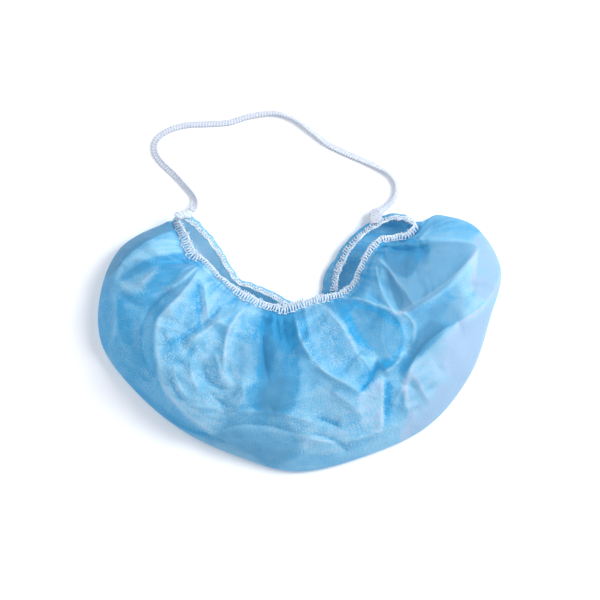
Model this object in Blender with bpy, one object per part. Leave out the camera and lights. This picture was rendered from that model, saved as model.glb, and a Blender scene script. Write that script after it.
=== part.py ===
"""A disposable beard cover, lying on its back wall as it is put down on a table.

The pouch is one piece of spunbond cloth that bags out round a long, narrow mouth. A gathered
elastic band edges the mouth, with a strand in front and one at the back, and a thin elastic
loop, sewn to the back one near both corners, goes over the head. +X runs along the mouth, +Y from the foot of the pouch towards the head
loop, and +Z up from the table. The tables count y from the foot, and the whole cover is moved
at the end so that the origin lies on the table under the middle of all but the loop.
"""

import math
from typing import NamedTuple

import bpy
from mathutils import Vector

# Driving sizes, in metres
POUCH_WIDTH = 0.250  # across both lobes, as it lies
POUCH_DEPTH = 0.161  # from the foot to the top of the lobes
PUFF_HEIGHT = 0.037  # crown of the front wall over the table
RIM_HEIGHT = 0.021  # front strand of the mouth over the table, where it is highest
WALL = 0.001
ROLL_RADIUS = 0.003  # the turn of the cloth from its side to its underside
LIP = 0.0012  # cloth that runs straight out of the band before it bends
BAND_WIDTH = 0.0056
BAND_THICKNESS = 0.0022
BAND_CHAMFER = 0.0006
SEAT_GAP = 0.0004  # between pieces that touch
CORNER_GAP = 0.0004  # between the band's strands, along the mouth's edge at its corners
END_GAP = 0.0005  # under the loop's sewn ends, where the band twists
LOOP_DIAMETER = 0.0036
END_LENGTH = 0.0076  # of the loop's flattened, sewn ends
END_WIDTH = 0.0050
END_THICKNESS = 0.0024
END_CHAMFER = 0.0005
END_INSET = 0.0001  # from the mouth's edge to a sewn end
GATHER_HEIGHT = 0.0022  # of the small pleats that the band draws up
GATHERS = 17  # pleats along the front strand
GATHER_FADE = 3  # power of the way left to the side, by which the pleats die away
GATHER_GAIN = 3.0  # brings the pleats to their height where they stand highest
UNDER_REACH = 2.0  # of the back wall's bulge above the table, to that above its middle

# Mesh density
STEPS = 5  # columns of cloth and rings of the band from one section to the next
ROWS = 13  # rows of each wall, from the band to the side
CURL_ROWS = 5  # the rows of the back wall from its lip down to the table
LOOP_POINTS = 64
NUDGE = 0.05  # of a section, to both sides of a place whose direction is worked out


class Section(NamedTuple):
    """A cut across the pouch. Lengths are shares: x of POUCH_WIDTH from the middle, y of
    POUCH_DEPTH, front_z and back_z of RIM_HEIGHT, crown of PUFF_HEIGHT and side_z, the height
    of the outermost place, of ROLL_RADIUS. A tilt is the slope of the band's width, downwards
    from the mouth, in degrees. curl is how far the cloth runs on beyond the back strand
    before it turns under, as a share of that strand's height."""

    front_x: float
    front_y: float
    front_z: float
    front_tilt: float
    side_x: float
    side_y: float
    crown: float
    back_x: float
    back_y: float
    back_z: float
    back_tilt: float
    curl: float
    side_z: float = 1.0


# From the left corner of the mouth to the right one. The first and last are the corners,
# where the two strands of the band are one.
SECTIONS = [
    Section(-0.304, 0.970, 0.62, 55, -0.336, 0.962, 0.30, -0.304, 0.970, 0.62, 55, 0.4, 2.8),
    Section(-0.283, 0.884, 0.80, 20, -0.444, 0.872, 0.60, -0.277, 0.968, 0.54, 40, 0.4, 1.3),
    Section(-0.266, 0.822, 0.88, 0, -0.494, 0.700, 0.82, -0.250, 0.931, 0.46, 42, 0.4),
    Section(-0.239, 0.778, 0.92, -12, -0.491, 0.494, 0.94, -0.220, 0.880, 0.42, 45, 0.4),
    Section(-0.204, 0.722, 0.90, -12, -0.407, 0.311, 0.98, -0.192, 0.813, 0.40, 50, 0.4),
    Section(-0.152, 0.659, 0.86, -12, -0.288, 0.156, 0.96, -0.158, 0.733, 0.40, 50, 0.4),
    Section(-0.093, 0.618, 0.82, -12, -0.147, 0.054, 0.92, -0.106, 0.683, 0.38, 45, 0.4),
    Section(-0.038, 0.600, 0.80, -12, -0.009, 0.000, 0.90, -0.044, 0.631, 0.36, 40, 0.4),
    Section(0.024, 0.626, 0.82, -12, 0.145, 0.051, 0.92, 0.022, 0.598, 0.34, 40, 0.5),
    Section(0.095, 0.651, 0.90, -12, 0.306, 0.175, 0.98, 0.088, 0.645, 0.36, 35, 0.7),
    Section(0.139, 0.702, 0.96, -12, 0.415, 0.374, 1.00, 0.097, 0.731, 0.40, 30, 0.9),
    Section(0.160, 0.795, 1.00, -12, 0.472, 0.599, 0.94, 0.123, 0.818, 0.42, 30, 0.9),
    Section(0.194, 0.857, 0.98, -5, 0.499, 0.786, 0.82, 0.165, 0.888, 0.46, 32, 0.7),
    Section(0.236, 0.876, 0.90, 15, 0.425, 0.948, 0.62, 0.212, 0.950, 0.52, 38, 0.5),
    Section(0.270, 0.893, 0.82, 35, 0.352, 0.996, 0.42, 0.254, 0.972, 0.62, 50, 0.4, 1.8),
    Section(0.286, 0.938, 0.72, 60, 0.315, 0.976, 0.34, 0.286, 0.938, 0.72, 60, 0.4, 3.0),
]
LAST = len(SECTIONS) - 1

# Net of a section of the front wall: shares of the way from lip to side, and of its crown
NEAR_ALONG, NEAR_UP = 0.20, 1.40
FAR_ALONG, FAR_UP = 0.94, 0.98


class Fold(NamedTuple):
    """A ridge of the front wall, or a valley where its height is under 0, along a bow
    through three places. x and both widths are shares of POUCH_WIDTH, y of POUCH_DEPTH, and
    height of PUFF_HEIGHT. left and right are seen from start to end."""

    start_x: float
    start_y: float
    middle_x: float
    middle_y: float
    end_x: float
    end_y: float
    height: float
    left: float
    right: float


FOLDS = [
    # Left lobe
    Fold(-0.315, 0.925, -0.420, 0.830, -0.452, 0.670, 0.11, 0.026, 0.034),
    Fold(-0.270, 0.780, -0.330, 0.680, -0.375, 0.540, -0.14, 0.044, 0.044),
    Fold(-0.245, 0.750, -0.352, 0.490, -0.308, 0.250, 0.17, 0.070, 0.030),
    # Drawn from the front strand down the left half
    Fold(-0.158, 0.620, -0.232, 0.520, -0.296, 0.430, 0.11, 0.030, 0.030),
    Fold(-0.130, 0.600, -0.170, 0.480, -0.182, 0.330, 0.12, 0.030, 0.030),
    Fold(-0.048, 0.560, -0.053, 0.430, -0.043, 0.250, -0.17, 0.040, 0.040),
    # Right half
    Fold(-0.006, 0.570, 0.002, 0.455, 0.040, 0.330, 0.12, 0.032, 0.030),
    Fold(0.062, 0.590, 0.118, 0.465, 0.172, 0.340, 0.15, 0.032, 0.032),
    Fold(0.130, 0.620, 0.231, 0.570, 0.283, 0.440, 0.13, 0.030, 0.034),
    Fold(0.190, 0.790, 0.239, 0.700, 0.270, 0.600, 0.11, 0.028, 0.030),
    Fold(0.236, 0.790, 0.305, 0.745, 0.370, 0.770, -0.19, 0.040, 0.050),
    Fold(0.434, 0.825, 0.363, 0.690, 0.300, 0.600, 0.14, 0.030, 0.034),
    Fold(0.470, 0.700, 0.418, 0.565, 0.315, 0.435, 0.14, 0.032, 0.032),
    # Along the foot
    Fold(-0.330, 0.330, -0.270, 0.190, -0.200, 0.130, 0.12, 0.040, 0.030),
    Fold(-0.200, 0.145, 0.010, 0.185, 0.210, 0.140, 0.09, 0.032, 0.026),
]
FOLD_PARTS = 10  # straight parts that stand for a fold's bow

# The loop's sewn ends: where each lies on the back strand, in sections, and its turn from
# straight across the band towards the right-hand corner, in degrees
LEFT_END_AT, LEFT_END_TURN = 0.66, 34.0
RIGHT_END_AT, RIGHT_END_TURN = 12.75, 40.0

# The head loop between its sewn ends, as it lies on the table
LOOP_ROUTE = [
    (-0.0675, 0.1630, 0.0085),
    (-0.0659, 0.1647, 0.0066),
    (-0.0650, 0.1673, 0.0047),
    (-0.0652, 0.1704, 0.0030),
    (-0.0670, 0.1741, 0.0019),
    (-0.0708, 0.1787, 0.0019),
    (-0.0784, 0.1871, 0.0019),
    (-0.0862, 0.1946, 0.0019),
    (-0.0900, 0.2002, 0.0019),
    (-0.0906, 0.2063, 0.0019),
    (-0.0871, 0.2117, 0.0019),
    (-0.0797, 0.2161, 0.0019),
    (-0.0694, 0.2187, 0.0019),
    (-0.0567, 0.2193, 0.0019),
    (-0.0437, 0.2203, 0.0019),
    (-0.0313, 0.2241, 0.0019),
    (-0.0161, 0.2260, 0.0019),
    (-0.0040, 0.2222, 0.0019),
    (0.0065, 0.2147, 0.0019),
    (0.0167, 0.2068, 0.0019),
    (0.0262, 0.2018, 0.0019),
    (0.0375, 0.1968, 0.0019),
    (0.0474, 0.1922, 0.0019),
    (0.0553, 0.1874, 0.0019),
    (0.0593, 0.1822, 0.0019),
    (0.0601, 0.1768, 0.0020),
    (0.0590, 0.1721, 0.0028),
    (0.0565, 0.1682, 0.0042),
    (0.0531, 0.1652, 0.0059),
    (0.0502, 0.1623, 0.0075),
    (0.0487, 0.1590, 0.0091),
]

# Name, colour, roughness and metallic value of each material
SPUNBOND = ("blue_spunbond", (0.12, 0.45, 0.78, 1.0), 0.85, 0.0)
OVERLOCK = ("white_overlock", (0.83, 0.89, 0.93, 1.0), 0.90, 0.0)
ELASTIC = ("white_elastic", (0.86, 0.88, 0.92, 1.0), 0.80, 0.0)

UP = Vector((0.0, 0.0, 1.0))


def between(four, share):
    """The value between the middle two of four, on a smooth curve through them all."""
    before, first, second, after = four
    slope = (second - before) / 2.0
    bend = before - 2.5 * first + 2.0 * second - 0.5 * after
    turn = 1.5 * (first - second) + 0.5 * (after - before)
    return first + share * (slope + share * (bend + share * turn))


def blended(rows, at, closed=False):
    """The row of a table at a place between its rows. A closed table runs on from its last
    row into its first."""
    count = len(rows)
    low = int(at) if closed else min(int(at), count - 2)
    four = [rows[k % count if closed else min(max(k, 0), count - 1)] for k in range(low - 1, low + 3)]
    return [between(values, at - low) for values in zip(*four)]


def rim_rows():
    """Place and tilt of the mouth's edge at each section, in metres: down the front strand
    from the left corner and back along the other."""
    front = [(s.front_x, s.front_y, s.front_z, s.front_tilt) for s in SECTIONS]
    back = [(s.back_x, s.back_y, s.back_z, s.back_tilt) for s in SECTIONS[1:-1]]
    shares = front + back[::-1]
    return [(x * POUCH_WIDTH, y * POUCH_DEPTH, z * RIM_HEIGHT, tilt) for x, y, z, tilt in shares]


RIM = rim_rows()


class Seat(NamedTuple):
    """A place on the mouth's edge, with the way out across the band and the way up
    through it."""

    place: Vector
    out: Vector
    over: Vector

    def at(self, outwards, upwards):
        """The point this far out and up from the mouth's edge."""
        return self.place + self.out * outwards + self.over * upwards


def seat(at):
    """The seat at a place counted in sections round the mouth."""
    at %= len(RIM)
    x, y, z, tilt = blended(RIM, at, closed=True)
    ahead = Vector(blended(RIM, (at + NUDGE) % len(RIM), closed=True)[:3])
    behind = Vector(blended(RIM, (at - NUDGE) % len(RIM), closed=True)[:3])
    along = (ahead - behind).normalized()
    level = along.cross(UP).normalized()
    out = level * math.cos(math.radians(tilt)) - UP * math.sin(math.radians(tilt))
    out = (out - along * out.dot(along)).normalized()
    return Seat(Vector((x, y, z)), out, out.cross(along).normalized())


def bezier(points, share):
    """A point of the curve that a row of control points draws."""
    while len(points) > 1:
        points = [a.lerp(b, share) for a, b in zip(points, points[1:])]
    return points[0]


def side_point(at):
    """The outermost place of the pouch at a section, and the level way out there."""
    rows = [(s.side_x * POUCH_WIDTH, s.side_y * POUCH_DEPTH, s.side_z * ROLL_RADIUS) for s in SECTIONS]
    ahead = Vector(blended(rows, min(at + NUDGE, LAST)))
    behind = Vector(blended(rows, max(at - NUDGE, 0.0)))
    return Vector(blended(rows, at)), (ahead - behind).cross(UP).normalized()


def lip_points(rim_seat):
    """Where the cloth leaves the band, and where it starts to bend."""
    start = BAND_WIDTH + SEAT_GAP
    return [rim_seat.at(start, WALL / 2), rim_seat.at(start + LIP, WALL / 2)]


def bow(fold):
    """Places along the bow of a fold, in plan."""
    start = Vector((fold.start_x * POUCH_WIDTH, fold.start_y * POUCH_DEPTH))
    middle = Vector((fold.middle_x * POUCH_WIDTH, fold.middle_y * POUCH_DEPTH))
    end = Vector((fold.end_x * POUCH_WIDTH, fold.end_y * POUCH_DEPTH))
    pull = middle * 2.0 - (start + end) / 2.0
    return [bezier([start, pull, end], k / FOLD_PARTS) for k in range(FOLD_PARTS + 1)]


BOWS = [(fold, bow(fold)) for fold in FOLDS]


def fold_lift(x, y):
    """How far the folds raise the front wall at a place in plan."""
    here = Vector((x, y))
    lift = 0.0
    for fold, places in BOWS:
        nearest, side = math.inf, 0.0
        for a, b in zip(places, places[1:]):
            along = b - a
            share = min(1.0, max(0.0, (here - a).dot(along) / along.length_squared))
            away = here - a.lerp(b, share)
            if away.length < nearest:
                nearest = away.length
                side = along.x * away.y - along.y * away.x
        width = (fold.left if side > 0.0 else fold.right) * POUCH_WIDTH
        lift += fold.height * math.exp(-((nearest / width) ** 2))
    return lift * PUFF_HEIGHT


def front_column(at):
    """Points of the front wall from the band to the side."""
    lip = lip_points(seat(at))
    side, _ = side_point(at)
    crown = blended([(s.crown,) for s in SECTIONS], at)[0] * PUFF_HEIGHT
    near = lip[1].lerp(side, NEAR_ALONG)
    far = lip[1].lerp(side, FAR_ALONG)
    near.z, far.z = crown * NEAR_UP, crown * FAR_UP
    points = lip[:1]
    for row in range(1, ROWS + 1):
        share = (row - 1) / (ROWS - 1)
        point = bezier([lip[1], near, far, side], share)
        spread = math.sin(math.pi * share)
        ends = math.sin(math.pi * at / LAST)
        fade = spread * (1.0 - share) ** GATHER_FADE * ends
        wave = math.cos(2.0 * math.pi * GATHERS * at / LAST)
        point.z += spread * math.sqrt(ends) * fold_lift(point.x, point.y)
        point.z += GATHER_GAIN * GATHER_HEIGHT * fade * wave
        points.append(point)
    return points


def back_column(at):
    """Points of the back wall from the band, down to the table and along it to the side."""
    rim_seat = seat(2 * LAST - at)
    lip = lip_points(rim_seat)
    side, way = side_point(at)
    level = Vector((rim_seat.out.x, rim_seat.out.y, 0.0)).normalized()
    reach = blended([(s.curl,) for s in SECTIONS], at)[0] * rim_seat.place.z
    landing = Vector((rim_seat.place.x, rim_seat.place.y, 0.0))
    turn = [lip[1], lip[1] + rim_seat.out * reach, landing + level * UNDER_REACH * reach, landing]
    points = lip[:1] + [bezier(turn, k / CURL_ROWS) for k in range(CURL_ROWS + 1)]
    under = side - way * ROLL_RADIUS
    under.z = 0.0
    flats = ROWS - 1 - len(points)
    points += [landing.lerp(under, (k + 1) / flats) for k in range(flats)]
    eighth = math.pi / 4.0
    rolled = side - way * ROLL_RADIUS * (1.0 - math.sin(eighth))
    rolled.z = side.z * (1.0 - math.cos(eighth))
    return points + [rolled, side]


def made_material(finish):
    """A material of one colour."""
    name, colour, roughness, metallic = finish
    material = bpy.data.materials.new(name)
    material.use_nodes = True
    shader = material.node_tree.nodes["Principled BSDF"]
    shader.inputs["Base Color"].default_value = colour
    shader.inputs["Roughness"].default_value = roughness
    shader.inputs["Metallic"].default_value = metallic
    material.diffuse_color = colour
    return material


def made_object(name, points, faces, finish):
    """An object of a mesh, smooth all over."""
    mesh = bpy.data.meshes.new(name)
    mesh.from_pydata([tuple(p) for p in points], [], faces)
    mesh.shade_smooth()
    mesh.materials.append(made_material(finish))
    thing = bpy.data.objects.new(name, mesh)
    bpy.context.scene.collection.objects.link(thing)
    return thing


def build_pouch():
    """The bag: two walls that are one cloth, with the line from each corner of the mouth to
    the side shared by both."""
    columns = LAST * STEPS
    points, front, back = [], [], []

    def added(column):
        """The numbers of a column's points, from the band to the side."""
        points.extend(column)
        return list(range(len(points) - len(column), len(points)))

    for k in range(columns + 1):
        at = k / STEPS
        front.append(added(front_column(at)))
    for k in range(columns + 1):
        at = k / STEPS
        if k in (0, columns):
            back.append(front[k])
            continue
        open_share = math.sqrt(min(1.0, at, LAST - at))
        above = front_column(at)
        column = [a.lerp(b, open_share) for a, b in zip(above, back_column(at))]
        column[:2] = lip_points(seat(2 * LAST - at))
        back.append(added(column[:-1]) + [front[k][-1]])
    faces = []
    for near, far in zip(front, front[1:]):
        for row in range(ROWS):
            faces.append((near[row], near[row + 1], far[row + 1], far[row]))
    for near, far in zip(back, back[1:]):
        for row in range(ROWS):
            faces.append((near[row], far[row], far[row + 1], near[row + 1]))
    pouch = made_object("pouch", points, faces, SPUNBOND)
    wall = pouch.modifiers.new("wall", "SOLIDIFY")
    wall.thickness = WALL
    wall.offset = -1.0
    wall.use_rim = True
    return pouch


def strip_section(rim_seat, low, width, thickness, chamfer, inset):
    """The eight corners of a strip that lies across the band. low is its underside's height
    over the band's middle, and inset its distance from the mouth's edge."""
    high, far = low + thickness, inset + width
    corners = [
        (inset + chamfer, low),
        (far - chamfer, low),
        (far, low + chamfer),
        (far, high - chamfer),
        (far - chamfer, high),
        (inset + chamfer, high),
        (inset, high - chamfer),
        (inset, low + chamfer),
    ]
    return [rim_seat.at(across, up) for across, up in corners]


def swept(sections):
    """Points and faces of a strip through its sections, with flat ends."""
    points = [p for section in sections for p in section]
    sides = len(sections[0])
    faces = [tuple(range(sides)), tuple(range(len(points) - sides, len(points)))[::-1]]
    for here in range(0, len(points) - sides, sides):
        there = here + sides
        for j in range(sides):
            after = (j + 1) % sides
            faces.append((here + j, there + j, there + after, here + after))
    return points, faces


def build_band(name, corner):
    """A strand of the gathered elastic band, from one corner of the mouth to the next."""
    first = (seat(corner + NUDGE).place - seat(corner).place).length
    last = (seat(corner + LAST).place - seat(corner + LAST - NUDGE).place).length
    places = [corner + k / STEPS for k in range(LAST * STEPS + 1)]
    places[0] += NUDGE * CORNER_GAP / 2.0 / first
    places[-1] -= NUDGE * CORNER_GAP / 2.0 / last
    low = -BAND_THICKNESS / 2
    sections = [
        strip_section(seat(at), low, BAND_WIDTH, BAND_THICKNESS, BAND_CHAMFER, 0.0) for at in places
    ]
    points, faces = swept(sections)
    return made_object(name, points, faces, OVERLOCK)


def build_loop_end(name, at, turn):
    """A flattened end of the head loop, sewn on top of the back strand. It runs out over
    the strand's outer edge, where the loop goes on."""
    here = seat(2 * LAST - at)
    rightwards = here.out.cross(here.over)
    angle = math.radians(turn)
    way = here.out * math.cos(angle) + rightwards * math.sin(angle)
    low = BAND_THICKNESS / 2 + END_GAP
    middle = here.at(BAND_WIDTH / 2, 0.0)
    start = END_INSET - BAND_WIDTH / 2
    sections = []
    for reach in (start, start + END_LENGTH):
        across = Seat(middle + way * reach, way.cross(here.over), here.over)
        section = strip_section(across, low, END_WIDTH, END_THICKNESS, END_CHAMFER, -END_WIDTH / 2)
        sections.append(section)
    points, faces = swept(sections)
    return made_object(name, points, faces, ELASTIC)


def build_loop():
    """The head loop, a round cord on a smooth curve through its route."""
    curve = bpy.data.curves.new("head_loop", "CURVE")
    curve.dimensions = "3D"
    curve.bevel_depth = LOOP_DIAMETER / 2
    curve.bevel_resolution = 2
    curve.use_fill_caps = True
    line = curve.splines.new("POLY")
    line.points.add(LOOP_POINTS - 1)
    line.use_smooth = True
    for k, point in enumerate(line.points):
        at = k / (LOOP_POINTS - 1) * (len(LOOP_ROUTE) - 1)
        point.co = (*blended(LOOP_ROUTE, at), 1.0)
    curve.materials.append(made_material(ELASTIC))
    thing = bpy.data.objects.new("head_loop", curve)
    bpy.context.scene.collection.objects.link(thing)
    return thing


def settle(standing, others):
    """Bring the middle of the standing pieces' footprint to the origin, with the rest."""
    corners = [vertex.co for thing in standing for vertex in thing.data.vertices]
    middle = Vector((0.0, 0.0, min(c.z for c in corners)))
    for axis in (0, 1):
        values = [c[axis] for c in corners]
        middle[axis] = (min(values) + max(values)) / 2.0
    for thing in standing + others:
        thing.location = -middle


def main():
    """Clear the scene and build the cover."""
    for thing in list(bpy.data.objects):
        bpy.data.objects.remove(thing, do_unlink=True)
    standing = [
        build_pouch(),
        build_band("rim_band_front", 0),
        build_band("rim_band_back", LAST),
        build_loop_end("loop_end_left", LEFT_END_AT, LEFT_END_TURN),
        build_loop_end("loop_end_right", RIGHT_END_AT, RIGHT_END_TURN),
    ]
    settle(standing, [build_loop()])


main()
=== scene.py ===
"""Looks of a disposable beard cover, lying on its back wall on a pale table.

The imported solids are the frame: every piece made here rides on them, in metres, with +X along
the mouth, +Y from the foot of the pouch to the head loop and +Z up. The pouch is cloth with its
folds charted on the picture, the mouth's edge is gathered elastic under overlock stitches, and
the head loop is a flat knitted elastic.
"""

import logging
import math
from dataclasses import dataclass, field
from enum import Enum
from functools import partial
from typing import NamedTuple

import bpy
import numpy as np
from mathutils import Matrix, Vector, noise

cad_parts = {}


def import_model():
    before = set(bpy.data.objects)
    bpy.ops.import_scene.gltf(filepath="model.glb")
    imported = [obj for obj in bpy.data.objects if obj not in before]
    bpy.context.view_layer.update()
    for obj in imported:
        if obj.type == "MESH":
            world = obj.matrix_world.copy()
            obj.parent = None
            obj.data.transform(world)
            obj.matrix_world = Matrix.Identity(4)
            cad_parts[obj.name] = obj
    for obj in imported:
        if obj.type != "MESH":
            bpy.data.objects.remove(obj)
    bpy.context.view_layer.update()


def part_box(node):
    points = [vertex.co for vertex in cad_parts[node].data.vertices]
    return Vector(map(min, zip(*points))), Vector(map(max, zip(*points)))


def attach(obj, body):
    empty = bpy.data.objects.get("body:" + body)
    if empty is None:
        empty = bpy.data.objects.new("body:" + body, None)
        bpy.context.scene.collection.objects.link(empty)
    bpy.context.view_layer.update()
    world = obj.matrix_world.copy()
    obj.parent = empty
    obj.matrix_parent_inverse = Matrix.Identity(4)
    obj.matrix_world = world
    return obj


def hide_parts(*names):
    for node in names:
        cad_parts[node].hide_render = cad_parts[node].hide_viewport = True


LOG = logging.getLogger("beard_cover")
MILLIMETRE = 0.001
UP = np.array((0.0, 0.0, 1.0))
ASKEW = np.array((0.13, 0.21, 0.97))  # a way that no thread runs along

Faces = list[tuple[int, ...]]
Outline = tuple[tuple[float, float], ...]


class Strand(Enum):
    """The two strands of the mouth's edge."""

    FRONT = "front"
    BACK = "back"


class Section(NamedTuple):
    """A cut across the pouch, from the front strand round its side to the back strand.

    x and y are shares of the pouch's width and depth. The strands' z is a share of the rim's
    height, crown one of the puff's height, and side_z one of the roll's radius. A tilt is in
    degrees, and curl is how strongly the back wall swings out on its way down to the table.
    """

    front_x: float
    front_y: float
    front_z: float
    front_tilt: float
    side_x: float
    side_y: float
    crown: float
    back_x: float
    back_y: float
    back_z: float
    back_tilt: float
    curl: float
    side_z: float = 1.0


SECTIONS = [
    Section(-0.304, 0.970, 0.62, 55, -0.336, 0.962, 0.30, -0.304, 0.970, 0.62, 55, 0.4, 2.8),
    Section(-0.283, 0.884, 0.80, 20, -0.444, 0.872, 0.60, -0.277, 0.968, 0.54, 40, 0.4, 1.3),
    Section(-0.266, 0.822, 0.88, 0, -0.494, 0.700, 0.82, -0.250, 0.931, 0.46, 42, 0.4),
    Section(-0.239, 0.802, 0.92, -12, -0.491, 0.494, 0.94, -0.220, 0.880, 0.42, 45, 0.4),
    Section(-0.204, 0.744, 0.90, -12, -0.407, 0.311, 0.98, -0.192, 0.813, 0.40, 50, 0.4),
    Section(-0.152, 0.678, 0.86, -12, -0.288, 0.156, 0.96, -0.158, 0.733, 0.40, 50, 0.4),
    Section(-0.093, 0.632, 0.82, -12, -0.147, 0.054, 0.92, -0.106, 0.701, 0.38, 45, 0.4),
    Section(-0.038, 0.613, 0.80, -12, -0.009, 0.000, 0.90, -0.044, 0.653, 0.36, 40, 0.4),
    Section(0.024, 0.643, 0.82, -12, 0.145, 0.051, 0.92, 0.022, 0.598, 0.34, 40, 0.5),
    Section(0.095, 0.667, 0.90, -12, 0.313, 0.172, 0.98, 0.080, 0.645, 0.36, 35, 1.1),
    Section(0.134, 0.712, 0.96, -12, 0.420, 0.372, 1.00, 0.087, 0.735, 0.40, 30, 1.2),
    Section(0.158, 0.797, 1.00, -12, 0.472, 0.599, 0.94, 0.108, 0.822, 0.42, 30, 0.6),
    Section(0.192, 0.872, 0.98, -5, 0.499, 0.786, 0.82, 0.144, 0.900, 0.46, 32, 0.4),
    Section(0.234, 0.892, 0.90, 15, 0.440, 0.949, 0.62, 0.206, 0.964, 0.52, 38, 0.4),
    Section(0.268, 0.906, 0.82, 35, 0.352, 0.996, 0.42, 0.252, 0.974, 0.62, 50, 0.4, 1.8),
    Section(0.283, 0.944, 0.72, 60, 0.315, 0.976, 0.34, 0.283, 0.944, 0.72, 60, 0.4, 3.0),
]
LAST = len(SECTIONS) - 1


class BandWidth(NamedTuple):
    """How wide the stitches spread at a place round the mouth, counted in sections, as a share
    of their usual width."""

    at: float
    share: float


BAND_WIDTHS = [
    BandWidth(0.0, 1.00),
    BandWidth(1.0, 1.20),
    BandWidth(2.0, 1.15),
    BandWidth(2.9, 0.60),
    BandWidth(4.2, 0.55),
    BandWidth(5.2, 0.95),
    BandWidth(7.0, 1.10),
    BandWidth(8.6, 0.90),
    BandWidth(9.8, 0.68),
    BandWidth(13.4, 0.72),
    BandWidth(14.4, 1.00),
    BandWidth(15.5, 1.00),
    BandWidth(16.4, 0.60),
    BandWidth(17.6, 0.60),
    BandWidth(18.4, 0.78),
    BandWidth(21.0, 0.80),
    BandWidth(23.0, 0.60),
    BandWidth(28.0, 0.52),
    BandWidth(29.2, 0.60),
    BandWidth(30.0, 1.00),
]


class Fold(NamedTuple):
    """A ridge of the front wall, or a valley where its height is under 0, charted on the
    picture: its start, middle and end in pixels. Its height and the widths of its flanks, to
    the left and the right as seen from start to end, are in millimetres."""

    start_x: float
    start_y: float
    middle_x: float
    middle_y: float
    end_x: float
    end_y: float
    height: float
    left: float
    right: float


FOLDS = [
    # Left lobe
    Fold(169, 234, 129, 250, 113, 290, 2.6, 10.0, 4.0),
    Fold(202, 263, 157, 262, 123, 272, -3.4, 7.0, 5.0),
    Fold(159, 266, 150, 275, 139, 285, 1.6, 4.0, 3.0),
    Fold(203, 264, 186, 278, 168, 291, 2.0, 5.0, 4.0),
    Fold(112, 291, 116, 315, 110, 345, 1.8, 6.0, 4.0),
    Fold(198, 276, 146, 316, 152, 376, -2.6, 4.5, 22.0),
    # Edge of the great bulge of the left half
    Fold(204, 266, 186, 291, 161, 316, 4.6, 26.0, 5.0),
    Fold(161, 316, 156, 345, 163, 385, 4.6, 26.0, 4.0),
    Fold(163, 385, 182, 410, 211, 432, 4.2, 20.0, 4.0),
    # Creases inside it
    Fold(199, 281, 200, 303, 203, 325, -2.2, 3.0, 3.0),
    Fold(206, 281, 207, 301, 210, 321, 1.6, 3.0, 2.5),
    Fold(177, 341, 198, 328, 219, 308, -2.0, 3.0, 3.0),
    Fold(184, 349, 205, 332, 228, 316, 2.4, 4.0, 5.0),
    Fold(170, 377, 176, 391, 184, 402, -1.4, 2.5, 2.5),
    Fold(176, 363, 177, 382, 187, 397, 1.3, 3.0, 2.5),
    Fold(204, 363, 209, 380, 229, 389, -1.6, 2.5, 3.0),
    Fold(210, 390, 218, 399, 231, 406, -1.3, 2.5, 3.0),
    Fold(196, 352, 192, 372, 200, 392, 1.2, 3.0, 3.0),
    Fold(214, 352, 219, 365, 222, 384, 1.1, 2.5, 2.5),
    # Centre
    Fold(249, 307, 229, 334, 225, 372, 3.6, 8.0, 5.0),
    Fold(236, 385, 244, 394, 228, 417, 1.8, 4.0, 8.0),
    Fold(266, 309, 262, 340, 268, 378, -4.6, 7.0, 7.0),
    Fold(276, 312, 277, 325, 280, 340, -1.3, 1.8, 1.8),
    Fold(283, 312, 284, 327, 287, 342, -1.4, 1.8, 1.8),
    Fold(291, 311, 292, 325, 295, 338, -1.3, 1.8, 1.8),
    Fold(295, 312, 299, 337, 311, 358, 3.0, 14.0, 3.5),
    Fold(324, 309, 341, 328, 356, 354, 3.4, 4.5, 16.0),
    Fold(356, 354, 364, 362, 371, 371, 2.4, 4.0, 10.0),
    Fold(311, 362, 334, 378, 359, 391, 2.0, 12.0, 3.0),
    Fold(330, 390, 344, 400, 359, 409, 1.4, 9.0, 3.0),
    Fold(377, 361, 369, 378, 359, 391, -2.2, 3.0, 3.0),
    # Right half
    Fold(333, 296, 362, 301, 392, 313, 2.8, 4.0, 9.0),
    Fold(392, 313, 412, 324, 408, 354, 2.6, 5.0, 7.0),
    Fold(374, 257, 395, 282, 413, 309, 3.2, 7.0, 5.0),
    Fold(374, 259, 379, 289, 395, 316, 2.2, 3.5, 3.5),
    Fold(384, 251, 404, 248, 428, 246, -4.4, 5.0, 9.0),
    Fold(417, 240, 424, 234, 431, 228, 1.2, 2.5, 2.5),
    Fold(417, 241, 450, 239, 475, 250, 2.0, 6.0, 4.0),
    Fold(475, 250, 447, 282, 398, 313, 3.8, 5.0, 5.0),
    Fold(475, 250, 474, 268, 473, 287, 2.6, 8.0, 6.0),
    Fold(501, 277, 484, 305, 456, 323, 3.6, 9.0, 5.0),
    Fold(456, 323, 420, 350, 404, 384, 4.2, 12.0, 3.5),
    Fold(404, 384, 404, 400, 407, 412, 1.8, 6.0, 4.0),
    Fold(381, 373, 393, 365, 403, 352, 2.2, 3.5, 3.0),
    Fold(381, 374, 381, 402, 379, 430, 2.6, 3.0, 8.0),
    Fold(387, 379, 386, 398, 384, 416, -1.2, 4.0, 3.0),
    Fold(411, 374, 420, 389, 429, 404, 1.6, 3.0, 3.0),
    Fold(392, 405, 397, 395, 403, 386, 1.2, 3.0, 3.0),
    # Along the foot
    Fold(164, 411, 186, 426, 212, 433, -2.2, 3.0, 4.0),
    Fold(212, 433, 250, 422, 299, 433, -1.8, 4.0, 4.0),
    Fold(226, 418, 262, 411, 317, 423, 1.6, 4.0, 4.0),
    Fold(317, 416, 327, 420, 338, 424, -1.5, 3.0, 3.0),
    Fold(312, 431, 330, 438, 347, 449, -1.5, 3.0, 3.0),
    Fold(300, 434, 345, 440, 398, 423, 1.6, 5.0, 5.0),
]


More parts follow.
